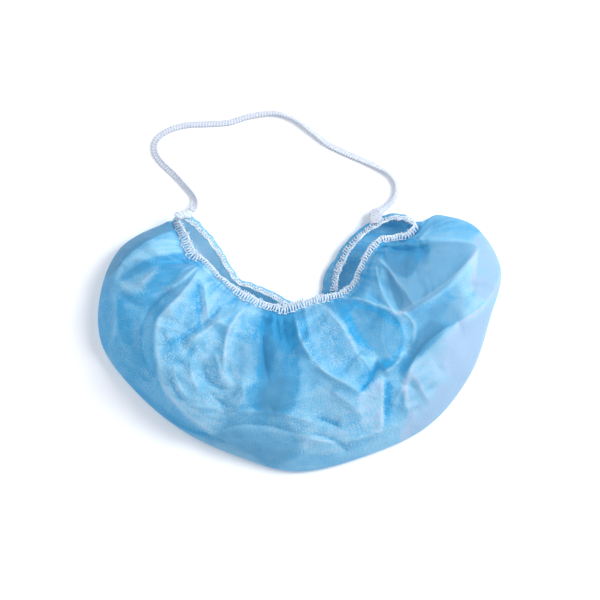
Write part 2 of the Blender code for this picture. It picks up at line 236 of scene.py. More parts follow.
class Veil(NamedTuple):
    """Where the cloth shows thicker or thinner than elsewhere, or where painted highlights and
    painted shade lie along its ridges and valleys, along a line charted on the picture as a fold
    is. left and right are how far it fades away on its sides, in millimetres, ply what it adds
    to the cloth's depth of colour, and shade the painted shade that it lays on the cloth, which
    is painted light where it is under 0."""

    start_x: float
    start_y: float
    middle_x: float
    middle_y: float
    end_x: float
    end_y: float
    left: float
    right: float
    ply: float
    shade: float


VEILS = [
    # Right lobe: painted highlights along the bright ridges
    Veil(503, 270, 484, 305, 456, 323, 1.8, 1.0, -0.26, -0.12),
    Veil(456, 323, 420, 352, 404, 384, 3.0, 1.0, -0.14, -0.10),
    Veil(476, 251, 450, 286, 398, 314, 1.0, 1.6, -0.24, -0.06),
    Veil(476, 251, 473, 270, 471, 290, 1.0, 4.0, -0.26, -0.06),
    Veil(418, 240, 446, 234, 476, 249, 1.0, 2.2, -0.16, 0.0),
    Veil(419, 239, 424, 234, 431, 226, 0.9, 0.9, -0.24, -0.04),
    Veil(431, 345, 415, 352, 404, 366, 5.0, 5.0, 0.12, 0.04),
    Veil(421, 242, 432, 252, 440, 262, 1.0, 1.0, -0.10, 0.0),
    # Left lobe: the folds gathered above it
    Veil(160, 268, 150, 276, 141, 286, 2.0, 2.0, -0.24, 0.0),
    Veil(202, 265, 188, 276, 166, 291, 1.0, 3.2, -0.26, -0.03),
    Veil(198, 262, 170, 258, 140, 266, 3.0, 3.0, 0.20, 0.0),
    Veil(189, 244, 193, 252, 202, 262, 4.0, 5.0, 0.22, 0.0),
    Veil(112, 291, 116, 315, 112, 345, 1.0, 2.6, -0.14, 0.0),
    Veil(124, 296, 121, 314, 123, 332, 1.6, 1.6, 0.10, 0.02),
    Veil(158, 362, 154, 374, 147, 379, 1.0, 1.8, 0.14, 0.04),
    Veil(147, 379, 136, 371, 122, 362, 1.2, 1.2, 0.10, 0.03),
    # Great bulge: its near edge, the strip of shade under it and the folds from the mouth
    Veil(204, 266, 186, 291, 161, 316, 3.0, 1.0, -0.22, -0.05),
    Veil(161, 316, 156, 345, 163, 385, 2.6, 1.0, -0.26, -0.05),
    Veil(163, 385, 182, 410, 211, 432, 2.4, 1.0, -0.24, -0.04),
    Veil(204, 266, 186, 291, 161, 316, 0.9, 3.0, 0.10, 0.04),
    Veil(161, 316, 156, 345, 163, 385, 0.9, 5.0, 0.04, 0.02),
    Veil(207, 268, 206, 296, 203, 320, 4.0, 2.0, -0.22, -0.04),
    Veil(199, 283, 198, 303, 200, 324, 0.9, 1.2, 0.24, 0.03),
    Veil(249, 307, 229, 334, 225, 384, 4.2, 0.8, -0.28, -0.05),
    Veil(236, 300, 222, 308, 209, 322, 1.4, 1.8, 0.22, 0.03),
    Veil(171, 345, 186, 334, 202, 322, 1.2, 1.4, 0.16, 0.03),
    Veil(185, 354, 200, 338, 220, 318, 2.0, 1.0, -0.22, -0.03),
    Veil(170, 376, 174, 390, 182, 401, 1.2, 1.6, 0.18, 0.04),
    Veil(163, 384, 170, 398, 186, 404, 1.0, 1.0, -0.16, -0.02),
    Veil(212, 350, 220, 366, 221, 384, 0.9, 1.0, -0.16, -0.02),
    Veil(190, 366, 196, 352, 206, 344, 1.4, 1.4, 0.16, 0.04),
    # Centre
    Veil(270, 340, 266, 364, 265, 384, 2.0, 3.0, 0.16, 0.06),
    Veil(288, 380, 284, 396, 276, 412, 1.0, 1.0, -0.12, 0.0),
    Veil(298, 372, 296, 392, 290, 408, 1.4, 2.0, 0.10, 0.0),
    Veil(276, 312, 277, 325, 280, 340, 0.8, 0.8, 0.20, 0.0),
    Veil(284, 312, 285, 327, 288, 342, 0.8, 0.8, 0.22, 0.0),
    Veil(291, 311, 292, 325, 296, 338, 0.8, 0.8, 0.20, 0.0),
    # Cone and what lies right of it
    Veil(294, 312, 299, 337, 311, 358, 1.6, 0.9, -0.14, -0.04),
    Veil(324, 306, 343, 326, 356, 352, 1.0, 4.4, -0.34, -0.04),
    Veil(311, 361, 334, 378, 360, 391, 1.4, 0.9, -0.16, -0.04),
    Veil(318, 386, 338, 400, 359, 410, 1.4, 0.9, -0.14, -0.03),
    Veil(376, 358, 372, 372, 360, 390, 0.8, 0.9, 0.34, 0.08),
    Veil(374, 356, 368, 370, 358, 387, 1.0, 1.0, -0.16, -0.03),
    Veil(358, 354, 366, 358, 376, 357, 1.0, 1.6, -0.18, -0.03),
    Veil(333, 296, 362, 301, 392, 313, 1.0, 1.6, -0.26, -0.06),
    Veil(392, 313, 414, 324, 408, 354, 0.8, 4.0, -0.22, -0.05),
    Veil(382, 322, 382, 342, 390, 360, 0.8, 0.8, -0.16, -0.03),
    Veil(374, 257, 374, 284, 395, 314, 0.8, 1.0, -0.22, -0.04),
    Veil(376, 259, 392, 276, 404, 302, 1.3, 1.0, -0.24, -0.04),
    Veil(381, 374, 381, 402, 380, 430, 1.0, 2.0, -0.20, -0.04),
    Veil(382, 372, 392, 366, 402, 352, 0.9, 1.2, -0.24, -0.03),
    Veil(411, 374, 420, 389, 429, 404, 0.8, 1.0, -0.14, -0.02),
    Veil(393, 408, 396, 396, 404, 386, 1.0, 1.0, -0.14, -0.02),
    Veil(404, 384, 406, 400, 408, 412, 0.9, 1.6, -0.16, -0.02),
    # Along the foot
    Veil(226, 412, 262, 408, 300, 416, 2.4, 2.0, 0.14, 0.04),
    Veil(212, 433, 250, 423, 299, 433, 1.0, 1.2, -0.16, -0.02),
    Veil(299, 433, 330, 436, 346, 450, 1.2, 1.0, 0.14, 0.04),
    Veil(316, 416, 332, 420, 344, 430, 1.2, 1.0, 0.14, 0.04),
    Veil(262, 440, 266, 452, 272, 462, 1.0, 1.4, -0.12, 0.0),
    Veil(344, 440, 372, 436, 398, 424, 1.4, 2.0, -0.10, 0.0),
]


class Layer(NamedTuple):
    """A flap or facet of the cloth that shows thicker or thinner than what lies round it, and many
    of them lie in painted shade or are brightened with painted light. Its outline is charted on
    the picture, soft is the width of its edge in millimetres, and ply and shade are as in a Veil."""

    outline: Outline
    soft: float
    ply: float
    shade: float


LAYERS = [
    # Lower right: the single layer under the long ridge, paler still at the outline
    Layer(((501, 276), (486, 303), (456, 323), (424, 351), (403, 377), (401, 392), (407, 414), (401, 440),
           (446, 424), (480, 372), (496, 310), (508, 280)), 1.6, -0.62, 0.04),
    Layer(((490, 306), (470, 322), (452, 334), (444, 350), (446, 372), (466, 380), (486, 350), (500, 306)),
           7.0, -0.40, 0.04),
    Layer(((440, 386), (424, 408), (404, 436), (440, 424), (462, 398), (476, 372)), 7.0, -0.34, 0.04),
    Layer(((409, 372), (406, 392), (410, 408), (428, 404), (436, 380), (424, 364)), 5.0, 0.16, 0.04),
    Layer(((366, 444), (388, 426), (400, 408), (412, 420), (404, 442), (376, 456)), 9.0, -0.30, 0.00),
    # Right lobe, outside its bright fold
    Layer(((477, 250), (474, 270), (472, 291), (488, 300), (505, 276), (502, 250), (488, 232), (470, 240)),
           4.0, -0.80, 0.10),
    Layer(((476, 250), (474, 272), (471, 292), (458, 297), (446, 291), (456, 274), (467, 260)),
           2.2, -0.30, -0.04),
    Layer(((452, 300), (470, 296), (484, 302), (466, 315), (452, 322), (440, 318)), 4.0, -0.50, 0.00),
    # Right lobe, the deep triangle between its two ridges, in painted shade
    Layer(((428, 308), (450, 302), (458, 318), (442, 332), (428, 326)), 5.0, 0.06, 0.14),
    Layer(((452, 286), (468, 303), (456, 323), (432, 345), (411, 361), (413, 336), (409, 314), (428, 305)),
           7.0, 0.10, 0.17),
    Layer(((430, 322), (441, 330), (428, 346), (411, 362), (399, 370), (404, 354), (412, 338), (420, 328)),
           6.0, 0.48, 0.28),
    # Right lobe, its two facets greyed with painted shade, and the blue above them
    Layer(((384, 244), (420, 242), (462, 243), (476, 251), (449, 283), (424, 303), (400, 313), (388, 284)),
           1.8, -0.30, 0.29),
    Layer(((384, 242), (410, 241), (430, 246), (422, 258), (404, 265), (390, 262), (382, 254)),
           8.0, 0.84, -0.08),
    Layer(((384, 250), (404, 252), (416, 260), (408, 276), (394, 274), (385, 262)), 3.0, 0.90, 0.16),
    Layer(((376, 260), (390, 277), (402, 300), (396, 312), (384, 292), (377, 276)), 1.6, -0.04, 0.10),
    Layer(((420, 222), (450, 220), (484, 234), (476, 246), (446, 238), (420, 240)), 4.0, 0.10, 0.02),
    # The facet right of the cone, partly in painted shade
    Layer(((333, 297), (364, 302), (392, 314), (410, 325), (412, 336), (402, 356), (386, 368), (374, 352),
           (357, 344), (345, 324)), 1.6, 0.40, -0.06),
    Layer(((352, 309), (372, 313), (384, 322), (386, 340), (389, 357), (380, 358), (366, 342), (354, 326)),
           2.4, -0.22, 0.24),
    Layer(((386, 323), (398, 329), (400, 341), (393, 353), (390, 356), (387, 340)), 2.4, -0.26, 0.18),
    Layer(((391, 313), (406, 320), (413, 335), (407, 350), (398, 356), (402, 340), (400, 326)),
           1.6, -0.34, -0.08),
    Layer(((378, 356), (392, 362), (396, 366), (384, 370), (376, 366)), 1.6, 0.24, 0.06),
    # Cone
    Layer(((294, 309), (324, 306), (344, 326), (356, 352), (374, 359), (370, 374), (359, 391), (334, 378),
           (311, 361), (299, 337)), 1.6, 0.10, -0.12),
    Layer(((308, 312), (322, 330), (340, 356), (356, 378), (342, 380), (322, 364), (308, 340)),
           5.0, -0.02, 0.00),
    Layer(((296, 318), (302, 340), (312, 358), (322, 364), (314, 342), (304, 320)), 3.0, 0.12, 0.0),
    # Under the cone, its two steps greyed with painted shade
    Layer(((311, 362), (334, 379), (360, 392), (359, 408), (338, 399), (318, 385), (306, 372)),
           1.8, -0.04, 0.05),
    Layer(((318, 387), (338, 401), (358, 410), (344, 421), (322, 412), (312, 400)), 2.0, -0.18, 0.05),
    Layer(((360, 392), (379, 377), (381, 400), (380, 430), (362, 426), (358, 408)), 2.0, -0.40, -0.14),
    Layer(((383, 380), (391, 386), (390, 404), (388, 419), (383, 419), (382, 400)), 1.6, 0.26, 0.06),
    Layer(((400, 404), (412, 404), (412, 416), (396, 418), (392, 408)), 2.5, 0.10, 0.02),
    # Centre: the deep valley, in painted shade
    Layer(((263, 306), (293, 306), (299, 345), (302, 372), (298, 396), (288, 413), (262, 413), (250, 400),
           (256, 368), (264, 336)), 7.0, 0.34, 0.10),
    Layer(((262, 330), (284, 345), (286, 380), (276, 410), (258, 408), (262, 370)), 7.0, 0.02, 0.12),
    Layer(((270, 308), (292, 308), (297, 342), (286, 352), (274, 336)), 2.0, 0.20, -0.04),
    Layer(((256, 313), (263, 322), (258, 336), (250, 344), (240, 338), (246, 324)), 4.0, 0.18, 0.0),
    Layer(((238, 340), (252, 336), (260, 344), (258, 366), (246, 374), (238, 366)), 5.0, 0.04, 0.15),
    Layer(((228, 346), (240, 341), (246, 354), (244, 372), (236, 382), (228, 370)), 4.0, 0.04, 0.10),
    Layer(((268, 382), (290, 376), (294, 396), (284, 412), (268, 414), (258, 400)), 6.0, 0.04, 0.15),
    Layer(((232, 390), (246, 387), (252, 400), (246, 412), (234, 412)), 4.0, 0.12, 0.02),
    # Great bulge, and the light folds that run down it from the mouth
    Layer(((206, 265), (197, 282), (172, 304), (160, 322), (158, 345), (164, 385), (184, 413), (211, 433),
           (228, 418), (238, 398), (240, 372), (242, 346), (252, 318), (262, 306), (240, 299), (222, 285)),
           1.2, -0.08, -0.05),
    Layer(((166, 340), (184, 336), (196, 344), (190, 360), (176, 368), (164, 360)), 4.0, 0.28, 0.05),
    Layer(((188, 312), (200, 308), (203, 322), (196, 333), (186, 327)), 3.0, 0.16, 0.10),
    Layer(((168, 378), (186, 396), (216, 402), (224, 416), (210, 430), (188, 414), (172, 398)),
           4.0, -0.10, 0.03),
    # Left lobe: the shaded rim, the light arc inside it and the deep hollow
    Layer(((176, 227), (160, 235), (141, 246), (126, 258), (117, 270), (102, 276), (104, 256), (118, 238),
           (150, 216)), 1.2, 0.12, 0.44),
    Layer(((116, 271), (108, 292), (97, 284), (102, 268)), 4.0, 0.06, 0.16),
    Layer(((180, 236), (160, 240), (142, 250), (127, 261), (116, 278), (127, 272), (146, 259), (168, 253),
           (186, 250)), 1.8, -0.26, -0.04),
    Layer(((124, 270), (144, 262), (172, 262), (196, 266), (180, 280), (158, 288), (136, 286), (126, 280)),
           5.0, 0.16, 0.10),
    Layer(((159, 265), (150, 282), (142, 291), (128, 294), (122, 284), (136, 276), (148, 268)),
           3.0, -0.24, 0.02),
    Layer(((160, 265), (172, 266), (182, 272), (164, 288), (146, 295), (140, 292), (150, 280)),
           2.4, 0.26, 0.02),
    Layer(((124, 264), (146, 258), (150, 264), (136, 274), (122, 280)), 3.0, 0.14, 0.14),
    Layer(((122, 290), (142, 294), (160, 292), (178, 286), (168, 298), (148, 306), (128, 300)),
           5.0, 0.20, 0.08),
    Layer(((118, 296), (140, 290), (160, 300), (166, 308), (157, 326), (156, 352), (158, 376), (136, 356),
           (120, 330)), 5.0, 0.22, 0.07),
    Layer(((144, 314), (154, 320), (153, 345), (155, 370), (146, 358), (141, 336)), 4.0, -0.20, -0.10),
    Layer(((97, 296), (116, 292), (128, 312), (136, 344), (146, 376), (130, 378), (106, 350), (95, 326)),
           5.0, 0.18, 0.02),
    Layer(((162, 293), (196, 280), (186, 292), (170, 304), (156, 316), (150, 306)), 2.4, 0.04, 0.10),
    # Foot: the strip of shade, with the pale patches above it
    Layer(((126, 376), (160, 404), (190, 424), (212, 434), (210, 446), (186, 440), (152, 412), (126, 388)),
           3.0, 0.24, 0.08),
    Layer(((212, 434), (226, 425), (262, 424), (297, 433), (300, 445), (284, 462), (262, 466), (226, 456),
           (206, 446)), 8.0, 0.02, 0.20),
    Layer(((298, 433), (318, 434), (336, 440), (344, 449), (322, 453), (304, 449)), 2.4, -0.34, 0.00),
    Layer(((301, 417), (322, 419), (342, 428), (354, 436), (336, 438), (312, 430)), 2.4, -0.20, 0.03),
    Layer(((286, 457), (312, 452), (344, 452), (362, 456), (340, 466), (292, 471)), 4.0, 0.00, 0.03),
    Layer(((280, 463), (316, 456), (345, 450), (385, 437), (408, 426), (400, 441), (350, 462), (276, 474)),
           4.0, -0.16, -0.07),
    Layer(((172, 424), (192, 433), (218, 442), (252, 454), (264, 468), (234, 464), (198, 450), (174, 434)),
           4.0, -0.60, -0.02),
]


# Where the cloth's welds show as lace: the great bulge, a patch of the left lobe, the cone and the
# foot right of the middle
LACE = [
    ((206, 265), (197, 282), (172, 304), (160, 322), (158, 345), (164, 385), (184, 413), (211, 433),
     (228, 418), (246, 400), (258, 372), (260, 340), (262, 306), (240, 299), (222, 285)),
    ((159, 265), (150, 282), (142, 291), (128, 294), (122, 284), (136, 276), (148, 268)),
    ((294, 309), (324, 306), (344, 326), (356, 352), (340, 366), (311, 361), (299, 337)),
    ((300, 410), (320, 388), (358, 394), (380, 378), (384, 428), (350, 452), (302, 450), (262, 436),
     (270, 418)),
]


@dataclass(frozen=True)
class PictureView:
    """How the picture sees the table.

    The picture's columns are counted from the middle line of the pouch, and its rows from the
    foot of the pouch, which lies foot_height over the table.
    """

    pixel: float = 0.62 * MILLIMETRE
    frame_width: int = 600
    middle_column: float = 299.5
    foot_row: float = 470.0
    foot_height: float = 3.0 * MILLIMETRE
    elevation: float = math.radians(80.0)
    distance: float = 3.4

    def pixels(self, points: np.ndarray, origin: np.ndarray) -> np.ndarray:
        """Columns and rows of the picture at which points show.

        Args:
            points: Places in the frame, one a row.
            origin: Where the sections' own x and y are 0.

        Returns:
            One column and one row of the picture for each point.
        """
        up = (points[..., 1] - origin[1]) * math.sin(self.elevation)
        up = up + (points[..., 2] - self.foot_height) * math.cos(self.elevation)
        column = self.middle_column + (points[..., 0] - origin[0]) / self.pixel
        return np.stack([column, self.foot_row - up / self.pixel], axis=-1)

    def add_camera(self, origin: np.ndarray) -> bpy.types.Object:
        """Adds the camera at the picture's angle.

        Args:
            origin: Where the sections' own x and y are 0.

        Returns:
            The camera.
        """
        data = bpy.data.cameras.new("picture_camera")
        half_width = self.frame_width * self.pixel / 2
        data.angle = 2 * math.atan(half_width / self.distance)
        camera = bpy.data.objects.new("picture_camera", data)
        bpy.context.scene.collection.objects.link(camera)
        rows = self.foot_row - (self.frame_width - 1) / 2
        middle = origin[1] + rows * self.pixel / math.sin(self.elevation)
        target = Vector((origin[0], middle, self.foot_height))
        back = Vector((0.0, -math.cos(self.elevation), math.sin(self.elevation)))
        camera.location = target + back * self.distance
        camera.rotation_euler = back.to_track_quat("Z", "Y").to_euler()
        bpy.context.scene.camera = camera
        return camera


def linear(code: str, alpha: float = 1.0) -> tuple[float, float, float, float]:
    """The linear colour of an sRGB hex code.

    Args:
        code: Six hex digits after a #.
        alpha: The fourth value.

    Returns:
        Red, green, blue and alpha.
    """
    channels = [int(code[k : k + 2], 16) / 255 for k in (1, 3, 5)]
    r, g, b = (c / 12.92 if c <= 0.04045 else ((c + 0.055) / 1.055) ** 2.4 for c in channels)
    return r, g, b, alpha


def blended(rows: np.ndarray, at: np.ndarray, closed: bool = False) -> np.ndarray:
    """Rows of a table at places between them, on a Catmull-Rom curve.

    Args:
        rows: The table.
        at: Places, counted in rows.
        closed: Whether the table runs on from its last row into its first.

    Returns:
        One row for each place.
    """
    count = len(rows)
    low = np.floor(at).astype(int)
    if not closed:
        low = np.minimum(low, count - 2)
    share = (at - low)[:, None]
    four = [rows[(low + k) % count if closed else np.clip(low + k, 0, count - 1)] for k in (-1, 0, 1, 2)]
    before, first, second, after = four
    slope = (second - before) / 2
    bend = before - 2.5 * first + 2 * second - 0.5 * after
    turn = 1.5 * (first - second) + 0.5 * (after - before)
    return first + share * (slope + share * (bend + share * turn))


def unit(vectors: np.ndarray) -> np.ndarray:
    """Vectors brought to length 1."""
    return vectors / np.maximum(np.linalg.norm(vectors, axis=-1, keepdims=True), 1e-12)


def smooth_step(values: np.ndarray, low: float, high: float) -> np.ndarray:
    """0 up to low, 1 from high on, and a smooth rise between them."""
    share = np.clip((values - low) / (high - low), 0.0, 1.0)
    return share * share * (3 - 2 * share)


def blurred(values: np.ndarray, reach: int) -> np.ndarray:
    """Smooths a grid of values.

    Args:
        values: The grid.
        reach: How far away along rows and columns a value still counts.

    Returns:
        The mean round each place.
    """
    for axis in (0, 1):
        ends = [(reach + 1, reach) if k == axis else (0, 0) for k in (0, 1)]
        sums = np.cumsum(np.pad(values, ends, mode="edge"), axis=axis)
        high = np.take(sums, range(2 * reach + 1, sums.shape[axis]), axis=axis)
        low = np.take(sums, range(sums.shape[axis] - 2 * reach - 1), axis=axis)
        values = (high - low) / (2 * reach + 1)
    return values


def bezier(points: list[np.ndarray], shares: np.ndarray) -> np.ndarray:
    """Curves drawn by control points.

    Args:
        points: Control points, each an array of one place for each curve.
        shares: How far along each curve its points lie.

    Returns:
        Places, by curve and share.
    """
    level = [p[:, None, :] + 0 * shares[None, :, None] for p in points]
    share = shares[None, :, None]
    while len(level) > 1:
        level = [a + (b - a) * share for a, b in zip(level, level[1:])]
    return level[0]


class Seats(NamedTuple):
    """Places on the mouth's edge, with the ways out across the band and up through it."""

    place: np.ndarray
    out: np.ndarray
    over: np.ndarray

    def at(self, outwards: float | np.ndarray, upwards: float) -> np.ndarray:
        """The points this far out and up from the edge."""
        return self.place + self.out * outwards + self.over * upwards


class Waver(NamedTuple):
    """A wave of the mouth's edge: how many go round it, how strong it is and where it
    starts, in radians."""

    waves: int
    strength: float
    start: float


@dataclass
class CoverShape:
    """The cover's form, as its solids have it.

    Lengths are in metres. low and high are the corners of the pouch's box. A near or a far
    value shapes the front wall by the band and by the side: how far along its control point
    lies, and how high next to the crown.
    """

    low: Vector
    high: Vector
    width: float = 0.250
    depth: float = 0.161
    puff_height: float = 0.037
    rim_height: float = 0.021
    roll_radius: float = 0.003
    wall: float = 0.001
    lip: float = 0.0008
    hem_end: float = 0.0030
    curl_share: float = 0.55
    waver: float = 0.00022
    side_wavers: tuple[Waver, ...] = (Waver(31, 1.0, 0.0), Waver(53, 0.7, 1.0), Waver(79, 0.5, 2.2))
    height_wavers: tuple[Waver, ...] = (Waver(37, 1.0, 0.6), Waver(61, 0.8, 4.0))
    near_along: float = 0.20
    near_up: float = 1.40
    far_along: float = 0.94
    far_up: float = 0.98
    nudge: float = 0.05
    outline_steps: int = 400
    mouth_steps: int = 3001
    roll_rows: int = 2
    rim: np.ndarray = field(init=False)
    side: np.ndarray = field(init=False)
    origin: np.ndarray = field(init=False)

    def __post_init__(self) -> None:
        """Works out the tables in metres, and their place in the box."""
        front = [(s.front_x, s.front_y, s.front_z, s.front_tilt) for s in SECTIONS]
        back = [(s.back_x, s.back_y, s.back_z, s.back_tilt) for s in SECTIONS[1:-1]]
        scale = np.array((self.width, self.depth, self.rim_height, 1.0))
        self.rim = np.array(front + back[::-1]) * scale
        side = [(s.side_x, s.side_y, s.side_z) for s in SECTIONS]
        self.side = np.array(side) * np.array((self.width, self.depth, self.roll_radius))
        outline = blended(self.side, np.linspace(0, LAST, self.outline_steps))
        across = (self.low.x + self.high.x) / 2 - (outline[:, 0].min() + outline[:, 0].max()) / 2
        self.origin = np.array((across, self.low.y - outline[:, 1].min(), 0.0))
        self.side += self.origin
        self.rim[:, :3] += self.origin

    def column_of(self, name: str, at: np.ndarray) -> np.ndarray:
        """The values of one column of the sections at places between them."""
        return blended(np.array([(getattr(s, name),) for s in SECTIONS]), at)[:, 0]

    def seats(self, at: np.ndarray) -> Seats:
        """Where the band lies.

        Args:
            at: Places round the mouth, in sections.

        Returns:
            The seats at these places.
        """
        count = len(self.rim)
        at = at % count
        rows = blended(self.rim, at, closed=True)
        ahead = blended(self.rim, (at + self.nudge) % count, closed=True)[:, :3]
        behind = blended(self.rim, (at - self.nudge) % count, closed=True)[:, :3]
        along = unit(ahead - behind)
        level = unit(np.cross(along, UP))
        tilt = np.radians(rows[:, 3])[:, None]
        out = level * np.cos(tilt) - UP * np.sin(tilt)
        out = unit(out - along * np.sum(out * along, axis=1, keepdims=True))
        turn = at[:, None] / count * 2 * math.pi
        sway, heave = (
            sum(part.strength * np.sin(turn * part.waves + part.start) for part in wavers)
            for wavers in (self.side_wavers, self.height_wavers)
        )
        place = rows[:, :3] + (level * sway + UP * heave) * self.waver
        return Seats(place, out, unit(np.cross(out, along)))

    def band_share(self, at: np.ndarray) -> np.ndarray:
        """The share of its usual width that the band has at places round the mouth."""
        return np.interp(at % (2 * LAST), *np.array(BAND_WIDTHS).T)

    def even_seats(self, step: float, start: float = 0.0, end: float = 2.0 * LAST) -> np.ndarray:
        """Places round the mouth a step apart along its edge.

        Args:
            step: The step in metres, which is fitted to the length.
            start: Where to begin, in sections.
            end: Where to stop, which the last place doesn't reach.

        Returns:
            Places, in sections.
        """
        fine = np.linspace(start, end, self.mouth_steps)
        edge = blended(self.rim[:, :3], fine % (2 * LAST), closed=True)
        length = np.concatenate([[0.0], np.cumsum(np.linalg.norm(np.diff(edge, axis=0), axis=1))])
        count = max(2, round(length[-1] / step))
        return np.interp(np.arange(count) * length[-1] / count, length, fine)

    def lips(self, seats: Seats) -> tuple[np.ndarray, np.ndarray]:
        """Where the cloth leaves the band, and where it starts to bend."""
        return seats.at(self.hem_end, self.wall / 2), seats.at(self.hem_end + self.lip, self.wall / 2)

    def front_wall(self, at: np.ndarray, shares: np.ndarray) -> np.ndarray:
        """The smooth front wall, from the band to the side.

        Args:
            at: Places along the mouth, in sections.
            shares: How far each row lies from the lip to the side.

        Returns:
            Places, by column and row, with one row more than shares: the band's edge first.
        """
        lip, bend = self.lips(self.seats(at))
        side = blended(self.side, at)
        crown = self.column_of("crown", at) * self.puff_height
        near = bend + (side - bend) * self.near_along
        far = bend + (side - bend) * self.far_along
        near[:, 2] = crown * self.near_up
        far[:, 2] = crown * self.far_up
        wall = bezier([bend, near, far, side], shares)
        return np.concatenate([lip[:, None, :], wall], axis=1)

    def back_wall(self, at: np.ndarray, curl_rows: int, rows: int) -> np.ndarray:
        """The back wall, from the band down to the table and along it to the side.

        Args:
            at: Places along the mouth, in sections.
            curl_rows: Rows from the lip down to the table.
            rows: Rows in all, after the first.

        Returns:
            Places, by column and row.
        """
        seats = self.seats(2 * LAST - at)
        lip, bend = self.lips(seats)
        side = blended(self.side, at)
        ahead = blended(self.side, np.minimum(at + self.nudge, LAST))
        behind = blended(self.side, np.maximum(at - self.nudge, 0.0))
        way = unit(np.cross(ahead - behind, UP) * (1, 1, 0))
        level = unit(seats.out * (1, 1, 0))
        reach = (self.column_of("curl", at) * self.curl_share * seats.place[:, 2])[:, None]
        landing = seats.place * (1, 1, 0)
        turn = [bend, bend + seats.out * reach, landing + level * 2 * reach, landing]
        curl = bezier(turn, np.linspace(0, 1, curl_rows + 1))
        under = (side - way * self.roll_radius) * (1, 1, 0)
        shares = np.linspace(0, 1, rows - curl_rows - self.roll_rows)[1:]
        flat = bezier([landing, under], shares)
        turns = np.linspace(0, math.pi / 2, self.roll_rows + 2)[1:-1]
        roll = side[:, None, :] - way[:, None, :] * (self.roll_radius * (1 - np.sin(turns)))[None, :, None]
        roll[:, :, 2] = side[:, None, 2] * (1 - np.cos(turns))[None, :]
        return np.concatenate([lip[:, None, :], curl, flat, roll, side[:, None, :]], axis=1)


def charted_distance(chart: np.ndarray, row: Fold | Veil, parts: int = 14) -> tuple[np.ndarray, np.ndarray]:
    """How far places of the picture lie from a charted line.

    Args:
        chart: Columns and rows of the picture.
        row: The line, bent through its three places.
        parts: Straight parts that stand for the bow.

    Returns:
        The distance in pixels, above 0 to the right of the line, and the share along it.
    """
    start, middle, end = (np.array(row[k : k + 2], float) for k in (0, 2, 4))
    pull = 2 * middle - (start + end) / 2
    shares = np.linspace(0, 1, parts + 1)[:, None]
    bow = (1 - shares) ** 2 * start + 2 * shares * (1 - shares) * pull + shares**2 * end
    nearest = np.full(chart.shape[:-1], np.inf)
    signed = np.zeros_like(nearest)
    along = np.zeros_like(nearest)
    for k, (a, b) in enumerate(zip(bow, bow[1:])):
        way = b - a
        share = np.clip(((chart - a) @ way) / (way @ way), 0.0, 1.0)
        gap = chart - (a + share[..., None] * way)
        length = np.linalg.norm(gap, axis=-1)
        closer = length < nearest
        side = np.sign(way[0] * gap[..., 1] - way[1] * gap[..., 0])
        nearest = np.where(closer, length, nearest)
        signed = np.where(closer, length * side, signed)
        along = np.where(closer, (k + share) / parts, along)
    return signed, along


def inset(chart: np.ndarray, outline: Outline, parts: int = 4) -> np.ndarray:
    """How far places of the picture lie inside a charted outline.

    Args:
        chart: Columns and rows of the picture.
        outline: The outline's places, which it passes through smoothly.
        parts: Straight parts from each place to the next.

    Returns:
        The distance in pixels, under 0 outside the outline.
    """
    corners = blended(np.array(outline, float), np.arange(len(outline) * parts) / parts, closed=True)
    nearest = np.full(chart.shape[:-1], np.inf)
    inside = np.zeros(chart.shape[:-1], bool)
    for a, b in zip(corners, np.roll(corners, -1, axis=0)):
        way = b - a
        share = np.clip(((chart - a) @ way) / (way @ way), 0.0, 1.0)
        nearest = np.minimum(nearest, np.linalg.norm(chart - a - share[..., None] * way, axis=-1))
        if a[1] != b[1]:
            level = (a[1] > chart[..., 1]) != (b[1] > chart[..., 1])
            inside ^= level & (chart[..., 0] < a[0] + (chart[..., 1] - a[1]) * way[0] / way[1])
    return np.where(inside, nearest, -nearest)


def facets(u: np.ndarray, v: np.ndarray, cell: float, seed: int) -> np.ndarray:
    """Heights of a crumpled sheet of flat facets that meet in creases.

    Args:
        u: Place along the cloth.
        v: Place across it.
        cell: Size of a facet.
        seed: Picks the crumple.

    Returns:
        Heights from -1 to 1.
    """
    rng = np.random.default_rng(seed)
    size = 64  # facets along each side of the sheet, which then repeats
    heights = rng.uniform(-1, 1, (size, size))
    bend = rng.uniform(0, 2 * math.pi, 4)
    # The rows of facets are bent by these waves, in facets, so that they don't show as rows
    strong, weak = 0.35, 0.2
    x = u / cell + strong * np.sin(v / cell * 1.7 + bend[0]) + weak * np.sin(u / cell * 1.1 + bend[1])
    y = v / cell + strong * np.sin(u / cell * 1.3 + bend[2]) + weak * np.sin(v / cell * 0.9 + bend[3])
    left, low = np.floor(x).astype(int), np.floor(y).astype(int)
    p, q = x - left, y - low
    corner = [[heights[(left + i) % size, (low + j) % size] for j in (0, 1)] for i in (0, 1)]
    lower = corner[0][0] + p * (corner[1][0] - corner[0][0]) + q * (corner[0][1] - corner[0][0])
    upper = corner[1][1] + (1 - p) * (corner[0][1] - corner[1][1]) + (1 - q) * (corner[1][0] - corner[1][1])
    return np.where(p + q < 1, lower, upper)


def add_node(tree: bpy.types.NodeTree, kind: str, inputs: dict | None = None, **settings) -> bpy.types.Node:
    """Adds a node with its settings and links.

    Args:
        tree: The tree it goes into.
        kind: Blender's name of the node's type.
        inputs: Values and sockets, by the name or number of the input they go to.
        settings: The node's own properties.

    Returns:
        The node.
    """
    node = tree.nodes.new(kind)
    for name, value in settings.items():
        setattr(node, name, value)
    for name, value in (inputs or {}).items():
        socket = node.inputs[name]
        if isinstance(value, bpy.types.NodeSocket):
            tree.links.new(value, socket)
        else:
            socket.default_value = value
    return node


def new_material(name: str) -> tuple[bpy.types.Material, bpy.types.NodeTree]:
    """Makes an empty material.

    Args:
        name: Its name.

    Returns:
        The material and its tree.
    """
    material = bpy.data.materials.new(name)
    material.use_nodes = True
    material.node_tree.nodes.clear()
    return material, material.node_tree


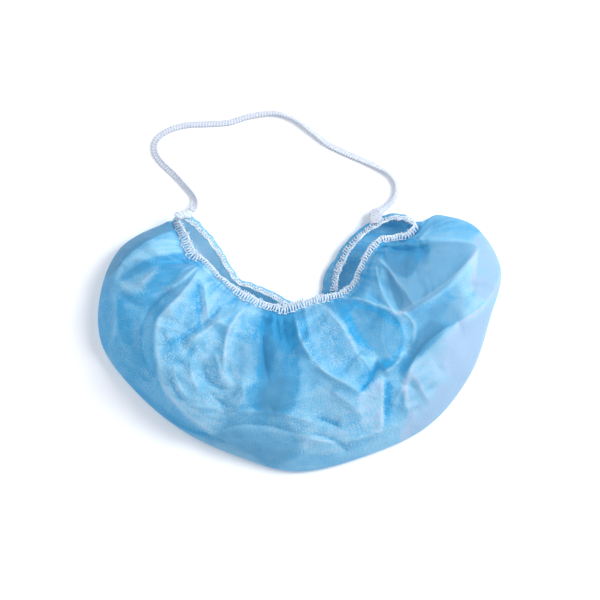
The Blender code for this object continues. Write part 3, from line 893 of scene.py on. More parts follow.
def mesh_object(name: str, points: np.ndarray, faces: Faces) -> bpy.types.Object:
    """Makes a smooth-shaded mesh object at the origin.

    Args:
        name: Its name.
        points: Its points.
        faces: Its faces, by their points' numbers.

    Returns:
        The object.
    """
    mesh = bpy.data.meshes.new(name)
    mesh.from_pydata(points.reshape(-1, 3).tolist(), [], faces)
    mesh.validate()
    mesh.shade_smooth()
    thing = bpy.data.objects.new(name, mesh)
    bpy.context.scene.collection.objects.link(thing)
    return thing


def grid_faces(columns: int, rows: int, first: int = 0, flip: bool = False) -> Faces:
    """Faces of a grid of points stored column by column.

    Args:
        columns: How many columns the grid has.
        rows: How many points a column has.
        first: The number of its first point.
        flip: Whether the faces turn the other way.

    Returns:
        The faces.
    """
    faces = []
    for column in range(columns - 1):
        for row in range(rows - 1):
            a = first + column * rows + row
            face = (a, a + 1, a + rows + 1, a + rows)
            faces.append(face[::-1] if flip else face)
    return faces


@dataclass(frozen=True)
class Spunbond:
    """Spunbond polypropylene: fine fibres laid at random and welded in a grid of dots. It
    shows cloudy, lets light through and has a faint sheen along its folds.

    The colours are those of many layers, of few, of a single one, of painted shade, and of
    light that comes through. What ends in ply adds to the cloth's depth of colour, and what
    ends in range says between which values something comes in.
    cover is how much the thinnest cloth hides of what lies behind it.
    """

    name: str = "blue_spunbond_polypropylene"
    deep: str = "#1A9DD3"
    pale: str = "#B6E6F5"
    single: str = "#CDDDEF"
    # The tint of painted shade
    painted_shade_tint: str = "#4A83A4"
    lit_through: str = "#84D4F0"
    fibre: float = 0.9 * MILLIMETRE
    cloud: float = 7.0 * MILLIMETRE
    fibre_gain: float = 3.2
    mottle_range: tuple[float, float] = (1.5, 2.7)
    mottle_ply: float = 0.26
    weld_pitch: float = 1.8 * MILLIMETRE
    weld_range: tuple[float, float] = (0.18, 0.40)
    weld_relief: float = -0.7
    patch_range: tuple[float, float] = (0.42, 0.60)
    patch_ply: tuple[float, float] = (-0.14, -0.64)
    single_range: tuple[float, float] = (0.16, -0.30)
    painted_shade_gain: float = 2.2
    cover: float = 0.72
    cover_gain: float = 0.2

    def build(self) -> bpy.types.Material:
        """Makes the material, which reads the cloth's own map, in metres, and its attributes.

        Returns:
            The material.
        """
        material, tree = new_material(self.name)
        node = partial(add_node, tree)
        cloth = node("ShaderNodeTexCoord").outputs["UV"]
        # Fibres give a fine mottle, and clouds the uneven lay of the web. Both are drawn
        # coarser than the real 0.02 mm fibre, so that they show.
        look = {"Vector": cloth, "Detail": 3.0, "Roughness": 0.6}
        fibres = node("ShaderNodeTexNoise", look | {"Scale": 1 / self.fibre}).outputs["Fac"]
        clouds = node("ShaderNodeTexNoise", look | {"Scale": 1 / self.cloud}).outputs["Fac"]
        mottle = node("ShaderNodeMath", {0: fibres, 1: self.fibre_gain, 2: clouds}, operation="MULTIPLY_ADD")
        low, high = self.mottle_range
        uneven = node(
            "ShaderNodeMapRange",
            {"Value": mottle.outputs[0], 1: low, 2: high, 3: self.mottle_ply, 4: -self.mottle_ply},
        )
        # Welds are pale, flat dots, which stand out in some places more than in others
        pitch = {"Vector": cloth, "Scale": 1 / self.weld_pitch, "Randomness": 0.55}
        welds = node("ShaderNodeTexVoronoi", pitch, voronoi_dimensions="2D").outputs["Distance"]
        low, high = self.weld_range
        dot = node("ShaderNodeMapRange", {"Value": welds, 1: low, 2: high, 3: 1.0, 4: 0.0}).outputs[0]
        low, high = self.patch_range
        weak, strong = self.patch_ply
        patch = node("ShaderNodeMapRange", {"Value": clouds, 1: low, 2: high, 3: weak, 4: strong})
        ply = node("ShaderNodeAttribute", attribute_name="ply").outputs["Fac"]
        lace = node("ShaderNodeAttribute", attribute_name="lace").outputs["Fac"]
        shade = node("ShaderNodeAttribute", attribute_name="shade").outputs["Fac"]
        shown = node("ShaderNodeMath", {0: patch.outputs[0], 1: lace}, operation="MULTIPLY")
        weld = node("ShaderNodeMath", {0: dot, 1: shown.outputs[0]}, operation="MULTIPLY")
        welded = node("ShaderNodeMath", {0: weld.outputs[0], 1: uneven.outputs[0]}, operation="ADD")
        total = node("ShaderNodeMath", {0: welded.outputs[0], 1: ply}, operation="ADD").outputs[0]
        depth = node("ShaderNodeClamp", {"Value": total}).outputs[0]
        # The colour deepens with the layers, a single one lets the white table through, and shade mixes in
        # painted shade
        thick, thin = self.single_range
        bare = node("ShaderNodeMapRange", {"Value": total, 1: thick, 2: thin}).outputs[0]
        gloom = node("ShaderNodeMath", {0: shade, 1: self.painted_shade_gain}, operation="MULTIPLY", use_clamp=True)
        colour = linear(self.pale)
        for factor, tint in ((depth, self.deep), (bare, self.single), (gloom.outputs[0], self.painted_shade_tint)):
            mix = node("ShaderNodeMix", {"Factor": factor, 6: colour, 7: linear(tint)}, data_type="RGBA")
            colour = mix.outputs[2]
        # Where the shade attribute is under 0 it brightens the colour: painted light
        painted_light = node("ShaderNodeMath", {0: shade, 1: 0.0}, operation="MINIMUM")
        light = node("ShaderNodeMath", {0: 1.0, 1: painted_light.outputs[0]}, operation="SUBTRACT")
        lit = node("ShaderNodeVectorMath", {0: colour, "Scale": light.outputs[0]}, operation="SCALE")
        closed = {0: depth, 1: self.cover_gain, 2: self.cover}
        cover = node("ShaderNodeMath", closed, operation="MULTIPLY_ADD", use_clamp=True)
        relief = node("ShaderNodeMath", {0: dot, 1: self.weld_relief, 2: fibres}, operation="MULTIPLY_ADD")
        raised = {"Height": relief.outputs[0], "Strength": 0.5, "Distance": 0.3 * MILLIMETRE}
        bump = node("ShaderNodeBump", raised).outputs[0]
        surface = node(
            "ShaderNodeBsdfPrincipled",
            {
                "Base Color": lit.outputs[0],
                "Roughness": 0.55,
                "IOR": 1.49,
                "Specular IOR Level": 0.35,
                "Sheen Weight": 0.15,
                "Sheen Roughness": 0.5,
                "Normal": bump,
            },
        )
        through = node("ShaderNodeBsdfTranslucent", {"Color": linear(self.lit_through), "Normal": bump})
        web = node("ShaderNodeMixShader", {0: 0.3, 1: surface.outputs[0], 2: through.outputs[0]})
        clear = node("ShaderNodeBsdfTransparent")
        whole = node("ShaderNodeMixShader", {0: cover.outputs[0], 1: clear.outputs[0], 2: web.outputs[0]})
        node("ShaderNodeOutputMaterial", {"Surface": whole.outputs[0]})
        return material


@dataclass(frozen=True)
class TextileWhite:
    """White polyester thread or knitted rubber-cored elastic: matt, slightly blue in the shade,
    with fine filaments along it, and with painted shade in the knit's troughs where its
    attribute says so."""

    name: str
    light: str
    shade: str
    filament: float = 0.5 * MILLIMETRE
    shade_range: tuple[float, float] = (0.35, 0.62)

    def build(self) -> bpy.types.Material:
        """Makes the material.

        Returns:
            The material.
        """
        material, tree = new_material(self.name)
        node = partial(add_node, tree)
        place = node("ShaderNodeTexCoord").outputs["Object"]
        # The filaments' grain is drawn coarser than the real 0.02 mm, so that it shows
        look = {"Vector": place, "Scale": 1 / self.filament, "Detail": 4.0, "Roughness": 0.65}
        grain = node("ShaderNodeTexNoise", look).outputs["Fac"]
        low, high = self.shade_range
        tone = node("ShaderNodeMapRange", {"Value": grain, 1: low, 2: high})
        # Painted shade in the knit's troughs, read from an attribute, with the grain's random tone
        groove_shade = node("ShaderNodeAttribute", attribute_name="groove_shade").outputs["Fac"]
        grain_and_groove_shade = node("ShaderNodeMath", {0: tone.outputs[0], 1: groove_shade}, operation="SUBTRACT")
        mixed = {"Factor": grain_and_groove_shade.outputs[0], 6: linear(self.shade), 7: linear(self.light)}
        colour = node("ShaderNodeMix", mixed, data_type="RGBA").outputs[2]
        bump = node("ShaderNodeBump", {"Height": grain, "Strength": 0.3, "Distance": 0.2 * MILLIMETRE})
        surface = node(
            "ShaderNodeBsdfPrincipled",
            {"Base Color": colour, "Roughness": 0.7, "Sheen Weight": 0.2, "Normal": bump.outputs[0]},
        )
        node("ShaderNodeOutputMaterial", {"Surface": surface.outputs[0]})
        return material


class CrinkleField(NamedTuple):
    """A part of the picture with small creases scattered over it: how many, its middle, and
    how far it reaches on each side, in pixels."""

    count: int
    column: float
    row: float
    reach_x: float
    reach_y: float


class Pleats(NamedTuple):
    """Pleats side by side at the mouth: how many cells of noise they follow round it, what
    they add there, the millimetres over which they fade away from it, and where on the noise
    they are."""

    count: int
    gain: float
    fade: float
    place: float


class Facets(NamedTuple):
    """Facets of crumpled cloth: their size and height in millimetres, and their seed."""

    cell: float
    height: float
    seed: int


class Wall(NamedTuple):
    """A wall of cloth, by column and row: its places, where they lie on the cut cloth, how
    far folds raise them and where they show in the picture."""

    points: np.ndarray
    u: np.ndarray
    v: np.ndarray
    lift: np.ndarray
    chart: np.ndarray


@dataclass
class Pouch:
    """The bag of cloth: a front wall with the charted folds and a back wall on the table.

    What ends in ply adds to the depth of colour, and what ends in shade paints shade on it, and paints light
    where it is under 0.
    inside_at are shares of the mouth's width, for the values inside: on the floor of the pouch
    and where the back wall rises to the mouth, which take turns over landing_rows. Folds and
    crinkles are in millimetres, but for a crinkle's length, which is in pixels, and a taper is
    the share of the wall over which its folds or pleats grow.
    """

    shape: CoverShape
    view: PictureView
    columns: int = 481
    front_rows: int = 148
    row_spread: float = 1.12
    curl_rows: int = 9
    back_rows: int = 30
    cut_length: float = 0.46
    cut_depth: float = 0.20
    front_lift: float = 0.6 * MILLIMETRE
    front_taper: float = 0.10
    back_lift: float = 0.3 * MILLIMETRE
    back_wave: float = 0.9 * MILLIMETRE
    back_wave_rate: float = 70.0
    mouth_column: float = 290.0
    mouth_row: float = 225.0
    fold_gain: float = 2.1
    fold_fall: float = 1.4
    fold_start: tuple[float, float] = (-0.05, 0.22)
    fold_end: tuple[float, float] = (-0.12, 0.20)
    flank_more: float = 1.2
    crease_radius: float = 0.2
    crinkle_seed: int = 17
    crinkle_fall: float = 1.2
    crinkle_turn: float = 0.55
    crinkle_bow: float = 0.22
    crinkle_length: tuple[float, float] = (7.0, 19.0)
    crinkle_height: tuple[float, float] = (0.5, 1.15)
    crinkle_side: tuple[float, float] = (1.3, 3.6)
    crinkle_fields: tuple[CrinkleField, ...] = (
        CrinkleField(64, 202.0, 362.0, 36.0, 50.0),
        CrinkleField(14, 140.0, 320.0, 24.0, 60.0),
        CrinkleField(14, 266.0, 366.0, 36.0, 50.0),
        CrinkleField(20, 300.0, 430.0, 110.0, 22.0),
        CrinkleField(10, 428.0, 390.0, 30.0, 30.0),
    )
    facet_sizes: tuple[Facets, ...] = (Facets(19.0, 2.8, 3), Facets(9.0, 1.5, 8), Facets(4.6, 0.7, 21))
    facet_squeeze: float = 0.62
    gather_rows: tuple[Pleats, ...] = (
        Pleats(96, 0.9, 8.0, 7.3),
        Pleats(47, 1.6, 18.0, 14.6),
        Pleats(23, 2.2, 38.0, 36.5),
    )
    gather_crisp: float = 3.0
    gather_taper: tuple[float, float] = (0.02, 0.20)
    streak_rows: tuple[Pleats, ...] = (
        Pleats(230, 0.5, 16.0, 391.0),
        Pleats(110, 0.7, 32.0, 187.0),
        Pleats(44, 0.6, 70.0, 74.8),
    )
    streak_level: float = 0.5
    streak_ply: float = 0.80
    streak_base_ply: float = -0.125
    streak_base_fade: float = 20.0
    back_streaks: float = 40.0
    # Painted highlights along the folds' crests and painted shade along the valleys
    crest_light_valley_shade: float = 0.16
    crest_reach: float = 0.85
    base_ply: float = 0.43
    steep_ply: float = 0.45
    # Painted shade in the folds' hollows and painted light on their tops
    hollow_shade_ridge_light: float = 90.0
    hollow_reach: int = 4
    hem_ply: float = -0.38
    inside_at: tuple[float, ...] = (0.21, 0.33, 0.62)
    inside_ply: tuple[float, ...] = (-0.20, 0.20, 0.64)
    inside_shade: tuple[float, ...] = (-0.42, -0.14, -0.14)
    landing_rows: tuple[int, int] = (-2, 3)
    curl_ply: tuple[float, ...] = (0.24, 0.30, 0.60)
    curl_shade: tuple[float, ...] = (-0.04, -0.04, 0.10)
    lace: tuple[float, float] = (0.40, 1.25)
    lace_soft: float = 6.0
    hem_rows: tuple[float, ...] = (-0.0024, -0.0017, -0.0009, -0.0001, 0.0007, 0.0015, 0.0023)
    hem_up: float = 0.45 * MILLIMETRE
    hem_wave: float = 0.6 * MILLIMETRE
    hem_wave_rate: tuple[float, float] = (9.0, 150.0)
    weld_reach: float = 0.02 * MILLIMETRE

    def millimetres(self, pixels: np.ndarray) -> np.ndarray:
        """Distances in the picture as lengths in millimetres."""
        return pixels * self.view.pixel / MILLIMETRE

    def crinkles(self) -> list[Fold]:
        """Short creases scattered over the wall, most of them on the great bulge.

        Returns:
            The creases, which mostly run away from the mouth.
        """
        rng = np.random.default_rng(self.crinkle_seed)
        made = []
        for part in self.crinkle_fields:
            for _ in range(part.count):
                x = part.column + part.reach_x * rng.uniform(-1, 1)
                y = part.row + part.reach_y * rng.uniform(-1, 1)
                away = math.atan2(y - self.mouth_row, x - self.mouth_column)
                away += rng.normal(0.0, self.crinkle_turn)
                step = np.array((math.cos(away), math.sin(away))) * rng.uniform(*self.crinkle_length)
                bow = np.array((-step[1], step[0])) * rng.uniform(-self.crinkle_bow, self.crinkle_bow)
                height = rng.uniform(*self.crinkle_height) * rng.choice((-1.0, 1.0))
                line = np.array((x, y)) + np.array((-step, bow, step))
                made.append(Fold(*line.ravel(), height, *rng.uniform(*self.crinkle_side, 2)))
        return made

    def crumple(self, chart: np.ndarray, u: np.ndarray, v: np.ndarray) -> np.ndarray:
        """How far the folds and the crumple raise the front wall.

        Args:
            chart: Columns and rows of the picture, by column and row of the wall.
            u: Place along the cut cloth.
            v: Place across it, from the mouth.

        Returns:
            Heights in metres.
        """
        lift = np.zeros(chart.shape[:2])
        for fold in FOLDS:
            signed, along = charted_distance(chart, fold)
            gap = np.hypot(self.millimetres(signed), self.crease_radius) - self.crease_radius
            width = np.where(signed < 0, fold.left, fold.right) + self.flank_more
            ends = smooth_step(along, *self.fold_start) * smooth_step(1 - along, *self.fold_end)
            lift += self.fold_gain * fold.height * MILLIMETRE * np.exp(-self.fold_fall * gap / width) * ends
        for fold in self.crinkles():
            signed, along = charted_distance(chart, fold, parts=4)
            gap = self.millimetres(np.abs(signed))
            width = np.where(signed < 0, fold.left, fold.right)
            ends = np.sin(math.pi * np.clip(along, 0.0, 1.0))
            lift += fold.height * MILLIMETRE * np.exp(-self.crinkle_fall * gap / width) * ends
        for size in self.facet_sizes:
            heights = facets(u * self.facet_squeeze, v, size.cell * MILLIMETRE, size.seed)
            lift += size.height * MILLIMETRE * heights
        return lift

    def pleated(self, at: np.ndarray, pleats: Pleats, level: float = 0.0) -> np.ndarray:
        """The noise that pleats follow, as one column of values for each place."""
        return np.array([[noise.noise(Vector((a / LAST * pleats.count, pleats.place, level)))] for a in at])

    def gathers(self, at: np.ndarray, v: np.ndarray) -> np.ndarray:
        """The pleats that the band draws up, which merge away from it.

        Args:
            at: Places along the mouth, in sections.
            v: Place across the cloth, from the mouth.

        Returns:
            Heights in metres.
        """
        lift = np.zeros(v.shape)
        for pleats in self.gather_rows:
            wave = self.pleated(at, pleats)
            wave = np.sign(wave) * (1 - np.exp(-np.abs(wave) * self.gather_crisp))
            lift += pleats.gain * MILLIMETRE * wave * np.exp(-v / (pleats.fade * MILLIMETRE))
        return lift

    def streaks(self, at: np.ndarray, v: np.ndarray) -> np.ndarray:
        """The depth of colour that the gathers' overlaps add in streaks away from the mouth, and the painted
        shade of the pleats along them.

        Args:
            at: Places along the mouth, in sections.
            v: Place across the cloth, from the mouth.

        Returns:
            What the ply gains.
        """
        away = np.maximum(v, 0.0) / MILLIMETRE
        depth = self.streak_base_ply * np.exp(-away / self.streak_base_fade)
        for pleats in self.streak_rows:
            streak = np.abs(self.pleated(at, pleats, self.streak_level))
            depth = depth + self.streak_ply * pleats.gain * streak * np.exp(-away / pleats.fade)
        return depth

    def hem(self, at: np.ndarray, strand: Strand) -> np.ndarray:
        """The gathered cloth under the stitches, from the mouth's edge outwards.

        Args:
            at: Places along the mouth, in sections.
            strand: Which strand it belongs to.

        Returns:
            Places, by column and row.
        """
        places = at if strand is Strand.FRONT else 2 * LAST - at
        seats = self.shape.seats(places)
        share = self.shape.band_share(places)[:, None]
        along_rate, out_rate = self.hem_wave_rate
        rows = []
        for out in self.hem_rows:
            where = [Vector((a * along_rate, strand is Strand.BACK, out * out_rate)) for a in at]
            wave = np.array([noise.noise(place) for place in where])
            rows.append(seats.at(out * share, self.hem_up) + seats.over * (wave * self.hem_wave)[:, None])
        return np.stack(rows, axis=1)

    def front_wall(self, at: np.ndarray) -> Wall:
        """The front wall with its hem, folds, crumple and gathers.

        Args:
            at: Places along the mouth, in sections.

        Returns:
            The wall, from the mouth's edge to the side.
        """
        shares = np.linspace(0, 1, self.front_rows) ** self.row_spread
        points = self.shape.front_wall(at, shares)
        steps = np.linalg.norm(np.diff(points, axis=1), axis=2)
        v = np.concatenate([np.zeros((self.columns, 1)), np.cumsum(steps, axis=1)], axis=1)
        u = (at / LAST * self.cut_length)[:, None] + 0 * v
        chart = self.view.pixels(points, self.shape.origin)
        down = np.concatenate([[0.0], shares])[None, :]
        ends = np.sqrt(np.sin(math.pi * np.clip(at / LAST, 0, 1)))[:, None]
        taper = smooth_step(down, 0.0, self.front_taper) * smooth_step(1 - down, 0.0, self.front_taper)
        lift = self.crumple(chart, u, v) * taper * ends
        mouth, side = self.gather_taper
        near = smooth_step(down, 0.0, mouth) * smooth_step(1 - down, 0.0, side)
        points[:, :, 2] += lift + self.gathers(at, v) * near * ends
        points[:, 1:, 2] = np.maximum(points[:, 1:, 2], self.front_lift)
        rows = len(self.hem_rows)
        hem_v = -np.array(self.hem_rows)[::-1][None, :] + 0 * v[:, :1]
        return Wall(
            np.concatenate([self.hem(at, Strand.FRONT), points], axis=1),
            np.concatenate([u[:, :rows], u], axis=1),
            np.concatenate([hem_v, v], axis=1),
            np.concatenate([0 * hem_v, lift], axis=1),
            np.concatenate([chart[:, :1].repeat(rows, axis=1), chart], axis=1),
        )

    def back_wall(self, at: np.ndarray, front: np.ndarray) -> np.ndarray:
        """The back wall with its hem and its gentle waves.

        Args:
            at: Places along the mouth, in sections.
            front: The front wall's places below its hem, which it meets at both ends.

        Returns:
            Places, by column and row.
        """
        points = self.shape.back_wall(at, self.curl_rows, self.back_rows)
        open_share = np.sqrt(np.minimum(1, np.minimum(at, LAST - at)))[:, None, None]
        above = front[:, np.linspace(0, self.front_rows, points.shape[1]).round().astype(int)]
        points[:, 2:] = (above + (points - above) * open_share)[:, 2:]
        where = (points * self.back_wave_rate).reshape(-1, 3)
        wave = np.array([noise.noise(Vector(place)) for place in where]).reshape(points.shape[:2])
        lowest = self.back_lift + self.back_wave * (1 + wave[:, 2:-1])
        points[:, 2:-1, 2] = np.maximum(points[:, 2:-1, 2], lowest)
        return np.concatenate([self.hem(at, Strand.BACK), points], axis=1)

    def build(self, material: bpy.types.Material) -> bpy.types.Object:
        """Makes the cloth.

        Args:
            material: The cloth's finish.

        Returns:
            The pouch.
        """
        at = np.linspace(0, LAST, self.columns)
        front = self.front_wall(at)
        back = self.back_wall(at, front.points[:, len(self.hem_rows) :])
        rows, back_rows = front.points.shape[1], back.shape[1]
        faces = grid_faces(self.columns, rows)
        faces += grid_faces(self.columns, back_rows, first=self.columns * rows, flip=True)
        points = np.concatenate([front.points.reshape(-1, 3), back.reshape(-1, 3)])
        pouch = mesh_object("pouch_cloth", points, faces)
        mesh = pouch.data
        back_v = -front.v[:, np.linspace(0, rows - 1, back_rows).round().astype(int)]
        cut = ((front.u, front.v), (front.u[:, :back_rows], back_v))
        cut = np.concatenate([np.stack(pair, axis=-1).reshape(-1, 2) for pair in cut])
        corners = np.empty(len(mesh.loops), int)
        mesh.loops.foreach_get("vertex_index", corners)
        mesh.uv_layers.new(name="cloth").data.foreach_set("uv", cut[corners].ravel())
        for name, values in self.looks(mesh, at, front, back_v).items():
            mesh.attributes.new(name, "FLOAT", "POINT").data.foreach_set("value", values)
        mesh.materials.append(material)
        pouch.modifiers.new("weld", "WELD").merge_threshold = self.weld_reach
        return pouch

    def looks(
        self, mesh: bpy.types.Mesh, at: np.ndarray, front: Wall, back_v: np.ndarray
    ) -> dict[str, np.ndarray]:
        """What the finish reads at each point of the cloth.

        Args:
            mesh: The cloth's mesh: its front wall's points, then its back wall's.
            at: Places along the mouth, in sections.
            front: The front wall.
            back_v: Where the back wall lies across the cut cloth, under 0 past the mouth.

        Returns:
            The depth of colour, the painted shade and painted light, and how strongly the welds show, by
            attribute.
        """
        count, size = len(mesh.vertices), front.v.size
        normals = np.empty(count * 3)
        mesh.vertices.foreach_get("normal", normals)
        ply = self.base_ply + self.steep_ply * (1 - np.abs(normals[2::3]))
        charted = self.veiled(front.chart)
        # Painted shade in the hollows of the folds and crumple, and painted light on their tops
        hollow = front.lift - blurred(front.lift, self.hollow_reach)
        ply[:size] += (charted[..., 0] - hollow * self.hollow_shade_ridge_light + self.streaks(at, front.v)).ravel()
        past_landing = np.arange(back_v.shape[1]) - len(self.hem_rows) - self.curl_rows
        floor_share = smooth_step(past_landing, *self.landing_rows)[None, :]
        inside = []
        for floor, curl in ((self.inside_ply, self.curl_ply), (self.inside_shade, self.curl_shade)):
            lying = np.interp(at / LAST, self.inside_at, floor)[:, None]
            rising = np.interp(at / LAST, self.inside_at, curl)[:, None]
            inside.append(rising + (lying - rising) * floor_share)
        ply[size:] = (inside[0] + self.streaks(at + self.back_streaks, -back_v)).ravel()
        # The shade attribute: painted shade, and painted light where it is under 0
        shade = np.concatenate([charted[..., 1].ravel(), inside[1].ravel()])
        hem = np.concatenate([(front.v < 0).ravel(), (back_v > 0).ravel()])
        ply[hem] += self.hem_ply
        shade[hem] = 0.0
        lace = np.full(count, self.lace[0])
        lace[:size] = self.laced(front.chart).ravel()
        return {"ply": ply, "shade": shade, "lace": lace}

    def inside_share(self, chart: np.ndarray, outline: Outline, soft: float) -> np.ndarray:
        """1 inside a charted outline and 0 outside it, over an edge of soft millimetres."""
        return smooth_step(self.millimetres(inset(chart, outline)), -soft / 2, soft / 2)

    def laced(self, chart: np.ndarray) -> np.ndarray:
        """How strongly the welds show.

        Args:
            chart: Columns and rows of the picture.

        Returns:
            A share for each place.
        """
        low, high = self.lace
        shares = [self.inside_share(chart, outline, self.lace_soft) for outline in LACE]
        return low + (high - low) * np.max(shares, axis=0)

    def veiled(self, chart: np.ndarray) -> np.ndarray:
        """What the charted veils, layers and fold lines add to the cloth's depth of colour, and the painted
        shade and painted light that they lay on it.

        Args:
            chart: Columns and rows of the picture.

        Returns:
            Depth and shade for each place.
        """
        total = np.zeros(chart.shape[:2] + (2,))
        for veil in VEILS:
            signed, _ = charted_distance(chart, veil)
            reach = np.where(signed < 0, veil.left, veil.right)
            share = np.exp(-((self.millimetres(np.abs(signed)) / reach) ** 2))
            total += share[..., None] * np.array((veil.ply, veil.shade))
        for layer in LAYERS:
            share = self.inside_share(chart, layer.outline, layer.soft)
            total += share[..., None] * np.array((layer.ply, layer.shade))
        # Painted highlights along the folds' crests, and painted shade along the valleys' floors
        for fold in FOLDS:
            signed, along = charted_distance(chart, fold)
            share = np.exp(-((self.millimetres(signed) / self.crest_reach) ** 2))
            share *= np.sin(math.pi * np.clip(along, 0.0, 1.0)) ** 0.5
            total[..., 0] -= share * self.crest_light_valley_shade * max(-1.0, min(1.0, fold.height / 2))
        return total


def skin(rings: np.ndarray, closed: bool = False) -> tuple[np.ndarray, Faces]:
    """The outside of a rod that has these rings of points.

    Args:
        rings: Points, by ring.
        closed: Whether the last ring meets the first. If not, both ends get a cap.

    Returns:
        Points and faces, whose normals point outwards.
    """
    count, around = rings.shape[:2]
    faces = []
    for k in range(count if closed else count - 1):
        a, b = k * around, (k + 1) % count * around
        faces += [(a + j, a + (j + 1) % around, b + (j + 1) % around, b + j) for j in range(around)]
    if not closed:
        faces += [tuple(range(around))[::-1], tuple(range((count - 1) * around, count * around))]
    points = rings.reshape(-1, 3)
    middle = points.mean(axis=0)
    volume = 0.0
    for face in faces:
        a, b, c = (points[face[k]] - middle for k in (0, 1, 2))
        volume += np.dot(a, np.cross(b, c))
        if len(face) == 4:
            volume += np.dot(a, np.cross(c, points[face[3]] - middle))
    return points, faces if volume > 0 else [face[::-1] for face in faces]


def circles(
    middles: np.ndarray, across: np.ndarray, over: np.ndarray, radius: float | np.ndarray, sides: int
) -> np.ndarray:
    """Rings of points.

    Args:
        middles: The rings' middles, one a row.
        across: A way in the plane of each ring.
        over: The way at right angles to it.
        radius: The radius of them all, or of each one.
        sides: How many points a ring has.

    Returns:
        Points, by ring.
    """
    turns = (np.arange(sides) / sides * 2 * math.pi)[:, None]
    return middles[:, None] + radius * (across[:, None] * np.cos(turns) + over[:, None] * np.sin(turns))


def rod(path: np.ndarray, radius: float, sides: int) -> tuple[np.ndarray, Faces]:
    """A round rod.

    Args:
        path: Its middle line.
        radius: Its radius.
        sides: How many sides it has.

    Returns:
        Points and faces.
    """
    along = unit(np.gradient(path, axis=0))
    across = unit(np.cross(along, ASKEW))
    return skin(circles(path, across, np.cross(across, along), radius, sides))


def joined(parts: list[tuple[np.ndarray, Faces]]) -> tuple[np.ndarray, Faces]:
    """Several meshes as one.

    Args:
        parts: Each mesh's points and faces.

    Returns:
        Points and faces of them all.
    """
    points, faces, first = [], [], 0
    for part_points, part_faces in parts:
        points.append(part_points)
        faces += [tuple(first + k for k in face) for face in part_faces]
        first += len(part_points)
    return np.concatenate(points), faces


